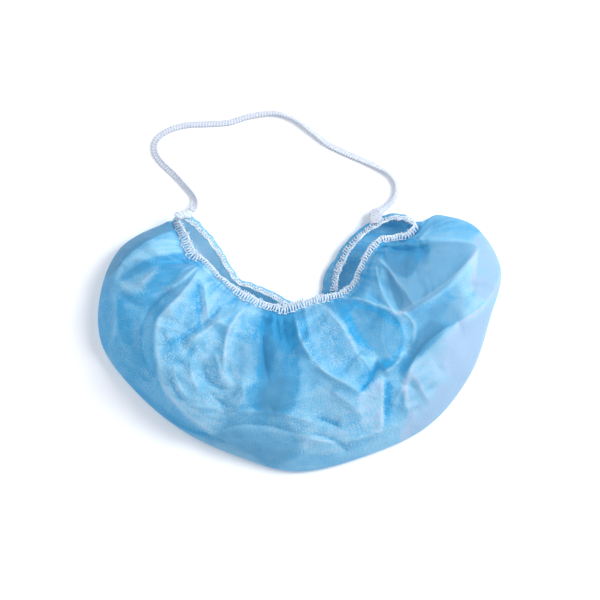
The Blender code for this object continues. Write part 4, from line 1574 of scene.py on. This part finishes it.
@dataclass
class Overlock:
    """The mouth's edge: an elastic in a roll of thread, and the overlock stitches that hold
    it to the cloth.

    Lengths are in metres, and heights are over the middle of the cloth. sway is how far a
    stitch turns from its place at the most, in radians round its three ways, and pinch how
    much each stitch narrows the roll.
    """

    shape: CoverShape
    pitch: float = 1.75 * MILLIMETRE
    rung_radius: float = 0.3082 * MILLIMETRE
    lean_radius: float = 0.2944 * MILLIMETRE
    chain_radius: float = 0.3220 * MILLIMETRE
    needle_out: float = 2.2 * MILLIMETRE
    height: float = 1.2 * MILLIMETRE
    sway: tuple[float, float, float] = (0.10, 0.10, 0.22)
    unevenness: float = 0.30
    seed: int = 11
    roll_radius: float = 0.62 * MILLIMETRE
    roll_out: float = -2.1 * MILLIMETRE
    roll_up: float = 0.5 * MILLIMETRE
    roll_sides: int = 8
    roll_rings: int = 3
    pinch: float = 0.13

    def stitch(self) -> bpy.types.Object:
        """Makes one stitch, at the origin: +X runs from the mouth's edge to the cloth, +Y along
        it. A rung passes over the roll, a looser thread leans back over it, and the needle's
        thread joins it to the next stitch.

        Returns:
            The stitch.
        """
        edge, needle, up, step = self.roll_out - self.roll_radius, self.needle_out, self.height, self.pitch
        rung = [
            (edge, 0.0, -0.3 * up),
            (edge - 0.2 * MILLIMETRE, 0.0, 0.6 * up),
            (self.roll_out, 0.0, 1.28 * up),
            (0.2 * needle, 0.10 * step, 1.0 * up),
            (0.7 * needle, 0.04 * step, 1.02 * up),
            (needle, 0.0, 0.75 * up),
        ]
        lean = [
            (edge - 0.1 * MILLIMETRE, 0.72 * step, 0.5 * up),
            (self.roll_out, 0.66 * step, 1.2 * up),
            (0.3 * needle, 0.30 * step, 1.08 * up),
            (0.97 * needle, -0.30 * step, 0.9 * up),
        ]
        chain = [
            (needle, -0.55 * step, 0.62 * up),
            (1.01 * needle, 0.0, 1.02 * up),
            (needle, 0.55 * step, 0.62 * up),
        ]
        threads = [
            rod(np.array(rung), self.rung_radius, sides=5),
            rod(np.array(lean), self.lean_radius, sides=4),
            rod(np.array(chain), self.chain_radius, sides=4),
        ]
        return mesh_object("overlock_stitch", *joined(threads))

    def stitch_tree(self) -> bpy.types.NodeTree:
        """Makes the tree that sets a stitch on every point, along its two ways and in its size.

        Returns:
            The tree.
        """
        tree = bpy.data.node_groups.new("overlock", "GeometryNodeTree")
        node = partial(add_node, tree)
        kinds = {"Stitch": "Object", "Unevenness": "Float", "Seed": "Int", "Finish": "Material"}
        for name, kind in ({"Geometry": "Geometry"} | kinds).items():
            tree.interface.new_socket(name=name, in_out="INPUT", socket_type=f"NodeSocket{kind}")
        tree.interface.new_socket(name="Geometry", in_out="OUTPUT", socket_type="NodeSocketGeometry")
        given = node("NodeGroupInput").outputs
        ways = {}
        for name in ("out", "over", "reach"):
            read = node("GeometryNodeInputNamedAttribute", {"Name": name}, data_type="FLOAT_VECTOR")
            ways[name] = next(s for s in read.outputs if s.enabled and s.name == "Attribute")
        first = node("FunctionNodeAlignRotationToVector", {"Vector": ways["out"]}, axis="X")
        turned = node(
            "FunctionNodeAlignRotationToVector",
            {"Rotation": first.outputs[0], "Vector": ways["over"]},
            axis="Z",
            pivot_axis="X",
        )
        sway = node(
            "FunctionNodeRandomValue",
            {"Min": [-most for most in self.sway], "Max": self.sway, "Seed": given["Seed"]},
            data_type="FLOAT_VECTOR",
        )
        turns = {0: turned.outputs[0], 1: sway.outputs[0]}
        swayed = node("FunctionNodeRotateRotation", turns, rotation_space="LOCAL")
        least = node("ShaderNodeMath", {0: 1.0, 1: given["Unevenness"]}, operation="SUBTRACT")
        most = node("ShaderNodeMath", {0: 1.0, 1: given["Unevenness"]}, operation="ADD")
        uneven = node(
            "FunctionNodeRandomValue",
            {"Min": least.outputs[0], "Max": most.outputs[0], "Seed": given["Seed"]},
            data_type="FLOAT_VECTOR",
        )
        size = node("ShaderNodeVectorMath", {0: ways["reach"], 1: uneven.outputs[0]}, operation="MULTIPLY")
        source = node("GeometryNodeObjectInfo", {"Object": given["Stitch"]}, transform_space="ORIGINAL")
        stitches = node(
            "GeometryNodeInstanceOnPoints",
            {
                "Points": given["Geometry"],
                "Instance": source.outputs["Geometry"],
                "Rotation": swayed.outputs[0],
                "Scale": size.outputs[0],
            },
        )
        real = node("GeometryNodeRealizeInstances", {0: stitches.outputs[0]})
        dressed = node("GeometryNodeSetMaterial", {"Geometry": real.outputs[0], "Material": given["Finish"]})
        node("NodeGroupOutput", {"Geometry": dressed.outputs[0]})
        return tree

    def build_stitches(self, material: bpy.types.Material) -> bpy.types.Object:
        """Sews the stitches round the mouth.

        Args:
            material: The thread's finish.

        Returns:
            All the stitches as one mesh.
        """
        at = self.shape.even_seats(self.pitch)
        seats = self.shape.seats(at)
        sewn = mesh_object("overlock_stitches", seats.place, [])
        reach = np.ones((len(at), 3))
        reach[:, 0] = self.shape.band_share(at)
        for name, values in (("out", seats.out), ("over", seats.over), ("reach", reach)):
            attribute = sewn.data.attributes.new(name, "FLOAT_VECTOR", "POINT")
            attribute.data.foreach_set("vector", values.ravel())
        stitch = self.stitch()
        tree = self.stitch_tree()
        modifier = sewn.modifiers.new("overlock", "NODES")
        modifier.node_group = tree
        values = {"Stitch": stitch, "Unevenness": self.unevenness, "Seed": self.seed, "Finish": material}
        for item in tree.interface.items_tree:
            if item.in_out == "INPUT" and item.name in values:
                modifier[item.identifier] = values[item.name]
        sewn.update_tag()
        ready = sewn.evaluated_get(bpy.context.evaluated_depsgraph_get())
        made = bpy.data.meshes.new_from_object(ready)
        sewn.modifiers.clear()
        sewn.data = made
        made.shade_smooth()
        bpy.data.objects.remove(stitch)
        return sewn

    def build_roll(self, material: bpy.types.Material) -> bpy.types.Object:
        """Makes the roll of thread over the elastic, pinched by each stitch.

        Args:
            material: The thread's finish.

        Returns:
            The roll.
        """
        at = self.shape.even_seats(self.pitch / self.roll_rings)
        seats = self.shape.seats(at)
        pinch = 1 + self.pinch * np.cos(np.arange(len(at)) / self.roll_rings * 2 * math.pi)
        radius = (self.roll_radius * pinch)[:, None, None]
        middles = seats.at(self.roll_out * self.shape.band_share(at)[:, None], self.roll_up)
        rings = circles(middles, seats.out, seats.over, radius, self.roll_sides)
        roll = mesh_object("rim_elastic_roll", *skin(rings, closed=True))
        roll.data.materials.append(material)
        return roll


class Twist(NamedTuple):
    """How far the knitted elastic is turned from flat, in degrees, at a share of its length."""

    share: float
    degrees: float


TWISTS = [
    Twist(0.00, 12),
    Twist(0.05, 34),
    Twist(0.13, 26),
    Twist(0.22, 12),
    Twist(0.40, 4),
    Twist(0.50, 14),
    Twist(0.57, 60),
    Twist(0.65, 44),
    Twist(0.71, 12),
    Twist(0.80, 22),
    Twist(0.86, 60),
    Twist(0.94, 52),
    Twist(1.00, 10),
]

# The middle line of the head loop, in metres from the foot and middle line of the pouch
LOOP_ROUTE = [
    (-0.0675, 0.1630, 0.0085),
    (-0.0659, 0.1647, 0.0066),
    (-0.0650, 0.1673, 0.0047),
    (-0.0652, 0.1704, 0.0030),
    (-0.0670, 0.1741, 0.0019),
    (-0.0708, 0.1787, 0.0019),
    (-0.0784, 0.1871, 0.0019),
    (-0.0862, 0.1946, 0.0019),
    (-0.0900, 0.2002, 0.0019),
    (-0.0906, 0.2063, 0.0019),
    (-0.0871, 0.2117, 0.0019),
    (-0.0797, 0.2161, 0.0019),
    (-0.0694, 0.2187, 0.0019),
    (-0.0567, 0.2193, 0.0019),
    (-0.0437, 0.2203, 0.0019),
    (-0.0313, 0.2241, 0.0019),
    (-0.0161, 0.2260, 0.0019),
    (-0.0040, 0.2222, 0.0019),
    (0.0065, 0.2147, 0.0019),
    (0.0167, 0.2068, 0.0019),
    (0.0262, 0.2018, 0.0019),
    (0.0375, 0.1968, 0.0019),
    (0.0474, 0.1922, 0.0019),
    (0.0553, 0.1874, 0.0019),
    (0.0593, 0.1822, 0.0019),
    (0.0601, 0.1768, 0.0020),
    (0.0590, 0.1721, 0.0028),
    (0.0565, 0.1682, 0.0042),
    (0.0531, 0.1652, 0.0059),
    (0.0502, 0.1623, 0.0075),
    (0.0487, 0.1590, 0.0091),
]


class SewnEnd(NamedTuple):
    """Where an end of the head loop is sewn on: its section and its turn in degrees. Its
    size is in metres, and so is how far it starts inside the mouth's edge. waist is how much
    narrower it is in its middle, and outwards how far over the band its middle lies."""

    node: str
    at: float
    turn: float
    inset: float
    length: float
    width: float
    thickness: float
    waist: float
    outwards: float


@dataclass
class HeadLoop:
    """The flat knitted elastic over the head, and its two sewn ends.

    section is a quarter of the elastic's cut, from its edge to its middle, in shares of its
    half width and half thickness. A bead or a waver is how much a stitch of the knit swells
    the elastic, at its edge or in its middle, and braid_slant turns the two edges' stitches
    against the middle's, in radians. Roughness is a noise's waves to the metre and its
    strength, and windings are the threads round a sewn end, at shares of its length.
    """

    shape: CoverShape
    width: float = 3.6 * MILLIMETRE
    thickness: float = 1.3 * MILLIMETRE
    section: tuple[tuple[float, float], ...] = (
        (1.0, 0.0),
        (0.92, 0.66),
        (0.76, 1.0),
        (0.55, 0.52),
        (0.28, 0.70),
        (0.0, 0.50),
    )
    edge_range: tuple[float, float] = (0.6, 0.8)
    rib: float = 1.8 * MILLIMETRE
    rib_rings: int = 6
    braid_slant: float = 0.9
    edge_bead: float = 0.55
    middle_bead: float = 0.30
    edge_waver: float = 0.09
    # Painted shade in the knit's troughs
    groove_shade: float = 0.30
    groove_range: tuple[float, float] = (0.2, 0.9)
    route_steps: int = 2001
    clearance: float = 0.32 * MILLIMETRE
    band_thickness: float = 2.2 * MILLIMETRE
    end_gap: float = 0.5 * MILLIMETRE
    end_rings: int = 33
    end_sides: int = 20
    end_bluntness: tuple[float, float] = (0.6, 0.7)
    end_rib: float = 0.24
    end_least: float = 0.05
    end_corner: int = 5
    waist_at: float = 0.45
    waist_reach: float = 0.12
    roughness: tuple[tuple[float, float], ...] = ((900.0, 0.16), (350.0, 0.22))
    windings: tuple[float, ...] = (0.12, 0.30, 0.48, 0.66, 0.84)
    winding_points: int = 17
    winding_radius: float = 0.22 * MILLIMETRE
    winding_slant: float = 0.7 * MILLIMETRE
    winding_shift: float = 9.0
    winding_reach: tuple[float, float] = (0.97, 1.04)
    ends: tuple[SewnEnd, ...] = (
        SewnEnd("loop_end_left", 0.66, 50.0, 0.0070, 0.0112, 0.0062, 0.0028, 0.36, 0.0),
        SewnEnd("loop_end_right", 12.80, 16.0, 0.0026, 0.0122, 0.0080, 0.0010, 0.06, 0.0028),
    )

    def path(self) -> tuple[np.ndarray, np.ndarray]:
        """Lays the elastic along its route, on the table.

        Returns:
            Its middle line and its turn, in radians, at every ring.
        """
        route = np.array(LOOP_ROUTE)
        fine = blended(route, np.linspace(0, len(route) - 1, self.route_steps))
        length = np.concatenate([[0.0], np.cumsum(np.linalg.norm(np.diff(fine, axis=0), axis=1))])
        count = round(length[-1] / self.rib) * self.rib_rings + 1
        shares = np.linspace(0, 1, count)
        line = np.stack([np.interp(shares * length[-1], length, fine[:, k]) for k in range(3)], axis=1)
        twists = np.array([(t.share, math.radians(t.degrees)) for t in TWISTS])
        place = np.interp(shares, twists[:, 0], np.arange(len(twists)))
        turn = blended(twists[:, 1:], np.minimum(place, len(twists) - 1))[:, 0]
        half = self.width / 2 * np.abs(np.sin(turn)) + self.thickness / 2 * np.cos(turn)
        line[:, 2] += half + self.clearance - route[:, 2].min()
        return line + self.shape.origin, turn

    def build(self, material: bpy.types.Material) -> tuple[bpy.types.Object, np.ndarray]:
        """Knits the elastic.

        Args:
            material: Its finish.

        Returns:
            The elastic and its middle line.
        """
        line, turn = self.path()
        along = unit(np.gradient(line, axis=0))
        level = unit(np.cross(along, UP))
        upright = np.cross(level, along)
        across = level * np.cos(turn)[:, None] + upright * np.sin(turn)[:, None]
        over = np.cross(across, along)
        quarter = np.array(self.section)
        half = np.concatenate([quarter, quarter[-2::-1] * (-1, 1)])
        sideways, upwards = np.concatenate([half, half[-2:0:-1] * (1, -1)]).T
        phase = np.arange(len(line))[:, None] / self.rib_rings * 2 * math.pi
        wave = np.cos(phase + self.braid_slant * np.sign(sideways))
        edge = smooth_step(np.abs(sideways), *self.edge_range)
        bead = self.middle_bead + edge * (self.edge_bead - self.middle_bead)
        y = sideways * self.width / 2 * (1 + self.edge_waver * edge * wave)
        z = upwards * self.thickness / 2 * (1 + bead * wave)
        rings = line[:, None] + across[:, None] * y[..., None] + over[:, None] * z[..., None]
        elastic = mesh_object("head_loop_elastic", *skin(rings))
        self.paint(elastic, self.grooved(wave).ravel(), material)
        return elastic, line

    def grooved(self, wave: np.ndarray) -> np.ndarray:
        """How much painted shade the knit gets in the troughs of its wave, which runs from -1 to 1."""
        return self.groove_shade * smooth_step(-wave, *self.groove_range)

    def paint(self, piece: bpy.types.Object, groove_shade: np.ndarray, material: bpy.types.Material) -> None:
        """Gives a piece its finish, and each of its points its painted shade."""
        piece.data.attributes.new("groove_shade", "FLOAT", "POINT").data.foreach_set("value", groove_shade)
        piece.data.materials.append(material)

    def end_outline(self, end: SewnEnd, turns: np.ndarray) -> np.ndarray:
        """The blunt outline of a sewn end's cut at these turns: how far sideways and up."""
        ways = np.stack([np.cos(turns), np.sin(turns)], axis=-1)
        return np.sign(ways) * np.abs(ways) ** self.end_bluntness * (end.width / 2, end.thickness / 2)

    def build_end(self, end: SewnEnd, material: bpy.types.Material) -> bpy.types.Object:
        """Makes a sewn end: the elastic folded over, with threads wound through it.

        Args:
            end: Which end.
            material: Its finish.

        Returns:
            The end.
        """
        seat = self.shape.seats(np.array([2 * LAST - end.at]))
        out, over = seat.out[0], seat.over[0]
        angle = math.radians(end.turn)
        way = out * math.cos(angle) + np.cross(out, over) * math.sin(angle)
        sides = np.stack([np.cross(way, over), over])
        lift = self.band_thickness / 2 + self.end_gap + end.thickness / 2
        start = seat.place[0] + out * end.outwards + over * lift - way * end.inset
        shares = np.linspace(0, 1, self.end_rings)
        wave = np.cos(shares * end.length / self.rib * 2 * math.pi)
        outline = self.end_outline(end, np.arange(self.end_sides) / self.end_sides * 2 * math.pi)
        rings = []
        for share, swell in zip(shares, 1 + self.end_rib * wave):
            blunt = max(self.end_least, 1 - abs(2 * share - 1) ** self.end_corner) ** 0.5
            waist = 1 - end.waist * math.exp(-(((share - self.waist_at) / self.waist_reach) ** 2))
            reach = outline * blunt * (waist, swell) @ sides
            points = start + way * end.length * share + reach
            rough = np.zeros(len(points))
            for rate, part in self.roughness:
                rough += [part * noise.noise(Vector(place)) for place in points * rate]
            rings.append(points + reach * rough[:, None])
        parts = [skin(np.array(rings))]
        turns = np.linspace(0, 2 * math.pi, self.winding_points)
        wound = self.end_outline(end, turns) * self.winding_reach @ sides
        for share in self.windings:
            slant = self.winding_slant * np.sin(turns + share * self.winding_shift)
            path = start + way * (end.length * share + slant)[:, None] + wound
            parts.append(rod(path, self.winding_radius, sides=5))
        points, faces = joined(parts)
        sewn = mesh_object(end.node + "_sewn", points, faces)
        # The elastic's rings get painted shade in their troughs, the windings none
        groove_shade = np.zeros(len(points))
        groove_shade[: self.end_rings * self.end_sides] = self.grooved(wave).repeat(self.end_sides)
        self.paint(sewn, groove_shade, material)
        return sewn


class Lamp(NamedTuple):
    """A square soft light that faces the cover: its place and size in metres, and its power
    in watts."""

    name: str
    place: tuple[float, float, float]
    size: float
    power: float


@dataclass
class Studio:
    """The pale table and the soft light over it."""

    table_half: float = 3.0
    table_colour: str = "#F4F5F7"
    room_colour: str = "#F5F8FF"
    room_strength: float = 0.70
    lamps: tuple[Lamp, ...] = (
        Lamp("key", (0.90, 0.30, 1.00), 0.7, 18.5),
        Lamp("fill", (-0.7, 0.5, 1.1), 1.2, 3.0),
    )

    def build(self) -> None:
        """Adds the table, the lights and the room's even light."""
        signs = np.array(((-1, -1, 0), (1, -1, 0), (1, 1, 0), (-1, 1, 0)))
        table = mesh_object("table", signs * self.table_half, [(0, 1, 2, 3)])
        material, tree = new_material("pale_table")
        matt = {"Base Color": linear(self.table_colour), "Roughness": 0.9}
        surface = add_node(tree, "ShaderNodeBsdfPrincipled", matt)
        add_node(tree, "ShaderNodeOutputMaterial", {"Surface": surface.outputs[0]})
        table.data.materials.append(material)
        for lamp in self.lamps:
            self.add_light(lamp)
        world = bpy.data.worlds.new("room")
        world.use_nodes = True
        back = world.node_tree.nodes["Background"]
        back.inputs["Color"].default_value = linear(self.room_colour)
        back.inputs["Strength"].default_value = self.room_strength
        bpy.context.scene.world = world
        bpy.context.scene.view_settings.view_transform = "Standard"

    def add_light(self, lamp: Lamp) -> None:
        """Adds a light.

        Args:
            lamp: The light, which is turned to face the cover.
        """
        data = bpy.data.lights.new(lamp.name, "AREA")
        data.size = lamp.size
        data.energy = lamp.power
        light = bpy.data.objects.new(lamp.name, data)
        bpy.context.scene.collection.objects.link(light)
        light.location = lamp.place
        light.rotation_euler = Vector(lamp.place).to_track_quat("Z", "Y").to_euler()


def finish(piece: bpy.types.Object, slot: str, *solids: str) -> bpy.types.Object:
    """Lets a piece ride on the cover, in place of its solids.

    Args:
        piece: The piece.
        slot: Not used.
        solids: The solids that it stands for.

    Returns:
        The piece.
    """
    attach(piece, "root")
    if solids:
        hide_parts(*solids)
    LOG.info("%s: %d faces", piece.name, len(piece.data.polygons))
    return piece


def main() -> None:
    """Builds the cover's looks round its solids."""
    logging.basicConfig(level=logging.INFO, format="%(message)s")
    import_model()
    low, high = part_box("pouch")
    shape = CoverShape(low, high)
    view = PictureView()
    view.add_camera(shape.origin)
    Studio().build()
    cloth = Spunbond().build()
    thread = TextileWhite("white_overlock_thread", "#E6ECF2", "#B4CADC").build()
    knit = TextileWhite("white_knitted_elastic", "#E2E5EB", "#9CA8BC").build()

    loop = HeadLoop(shape)
    elastic, line = loop.build(knit)
    finish(elastic, "elastic", "head_loop")
    for end, material in zip(loop.ends, (thread, knit)):
        finish(loop.build_end(end, material), "elastic", end.node)

    bag = Pouch(shape, view)
    pouch = finish(bag.build(cloth), "cloth", "pouch")
    overlock = Overlock(shape)
    stitches = finish(overlock.build_stitches(thread), "band", "rim_band_front", "rim_band_back")
    roll = finish(overlock.build_roll(thread), "band")


if __name__ == "__main__":
    main()
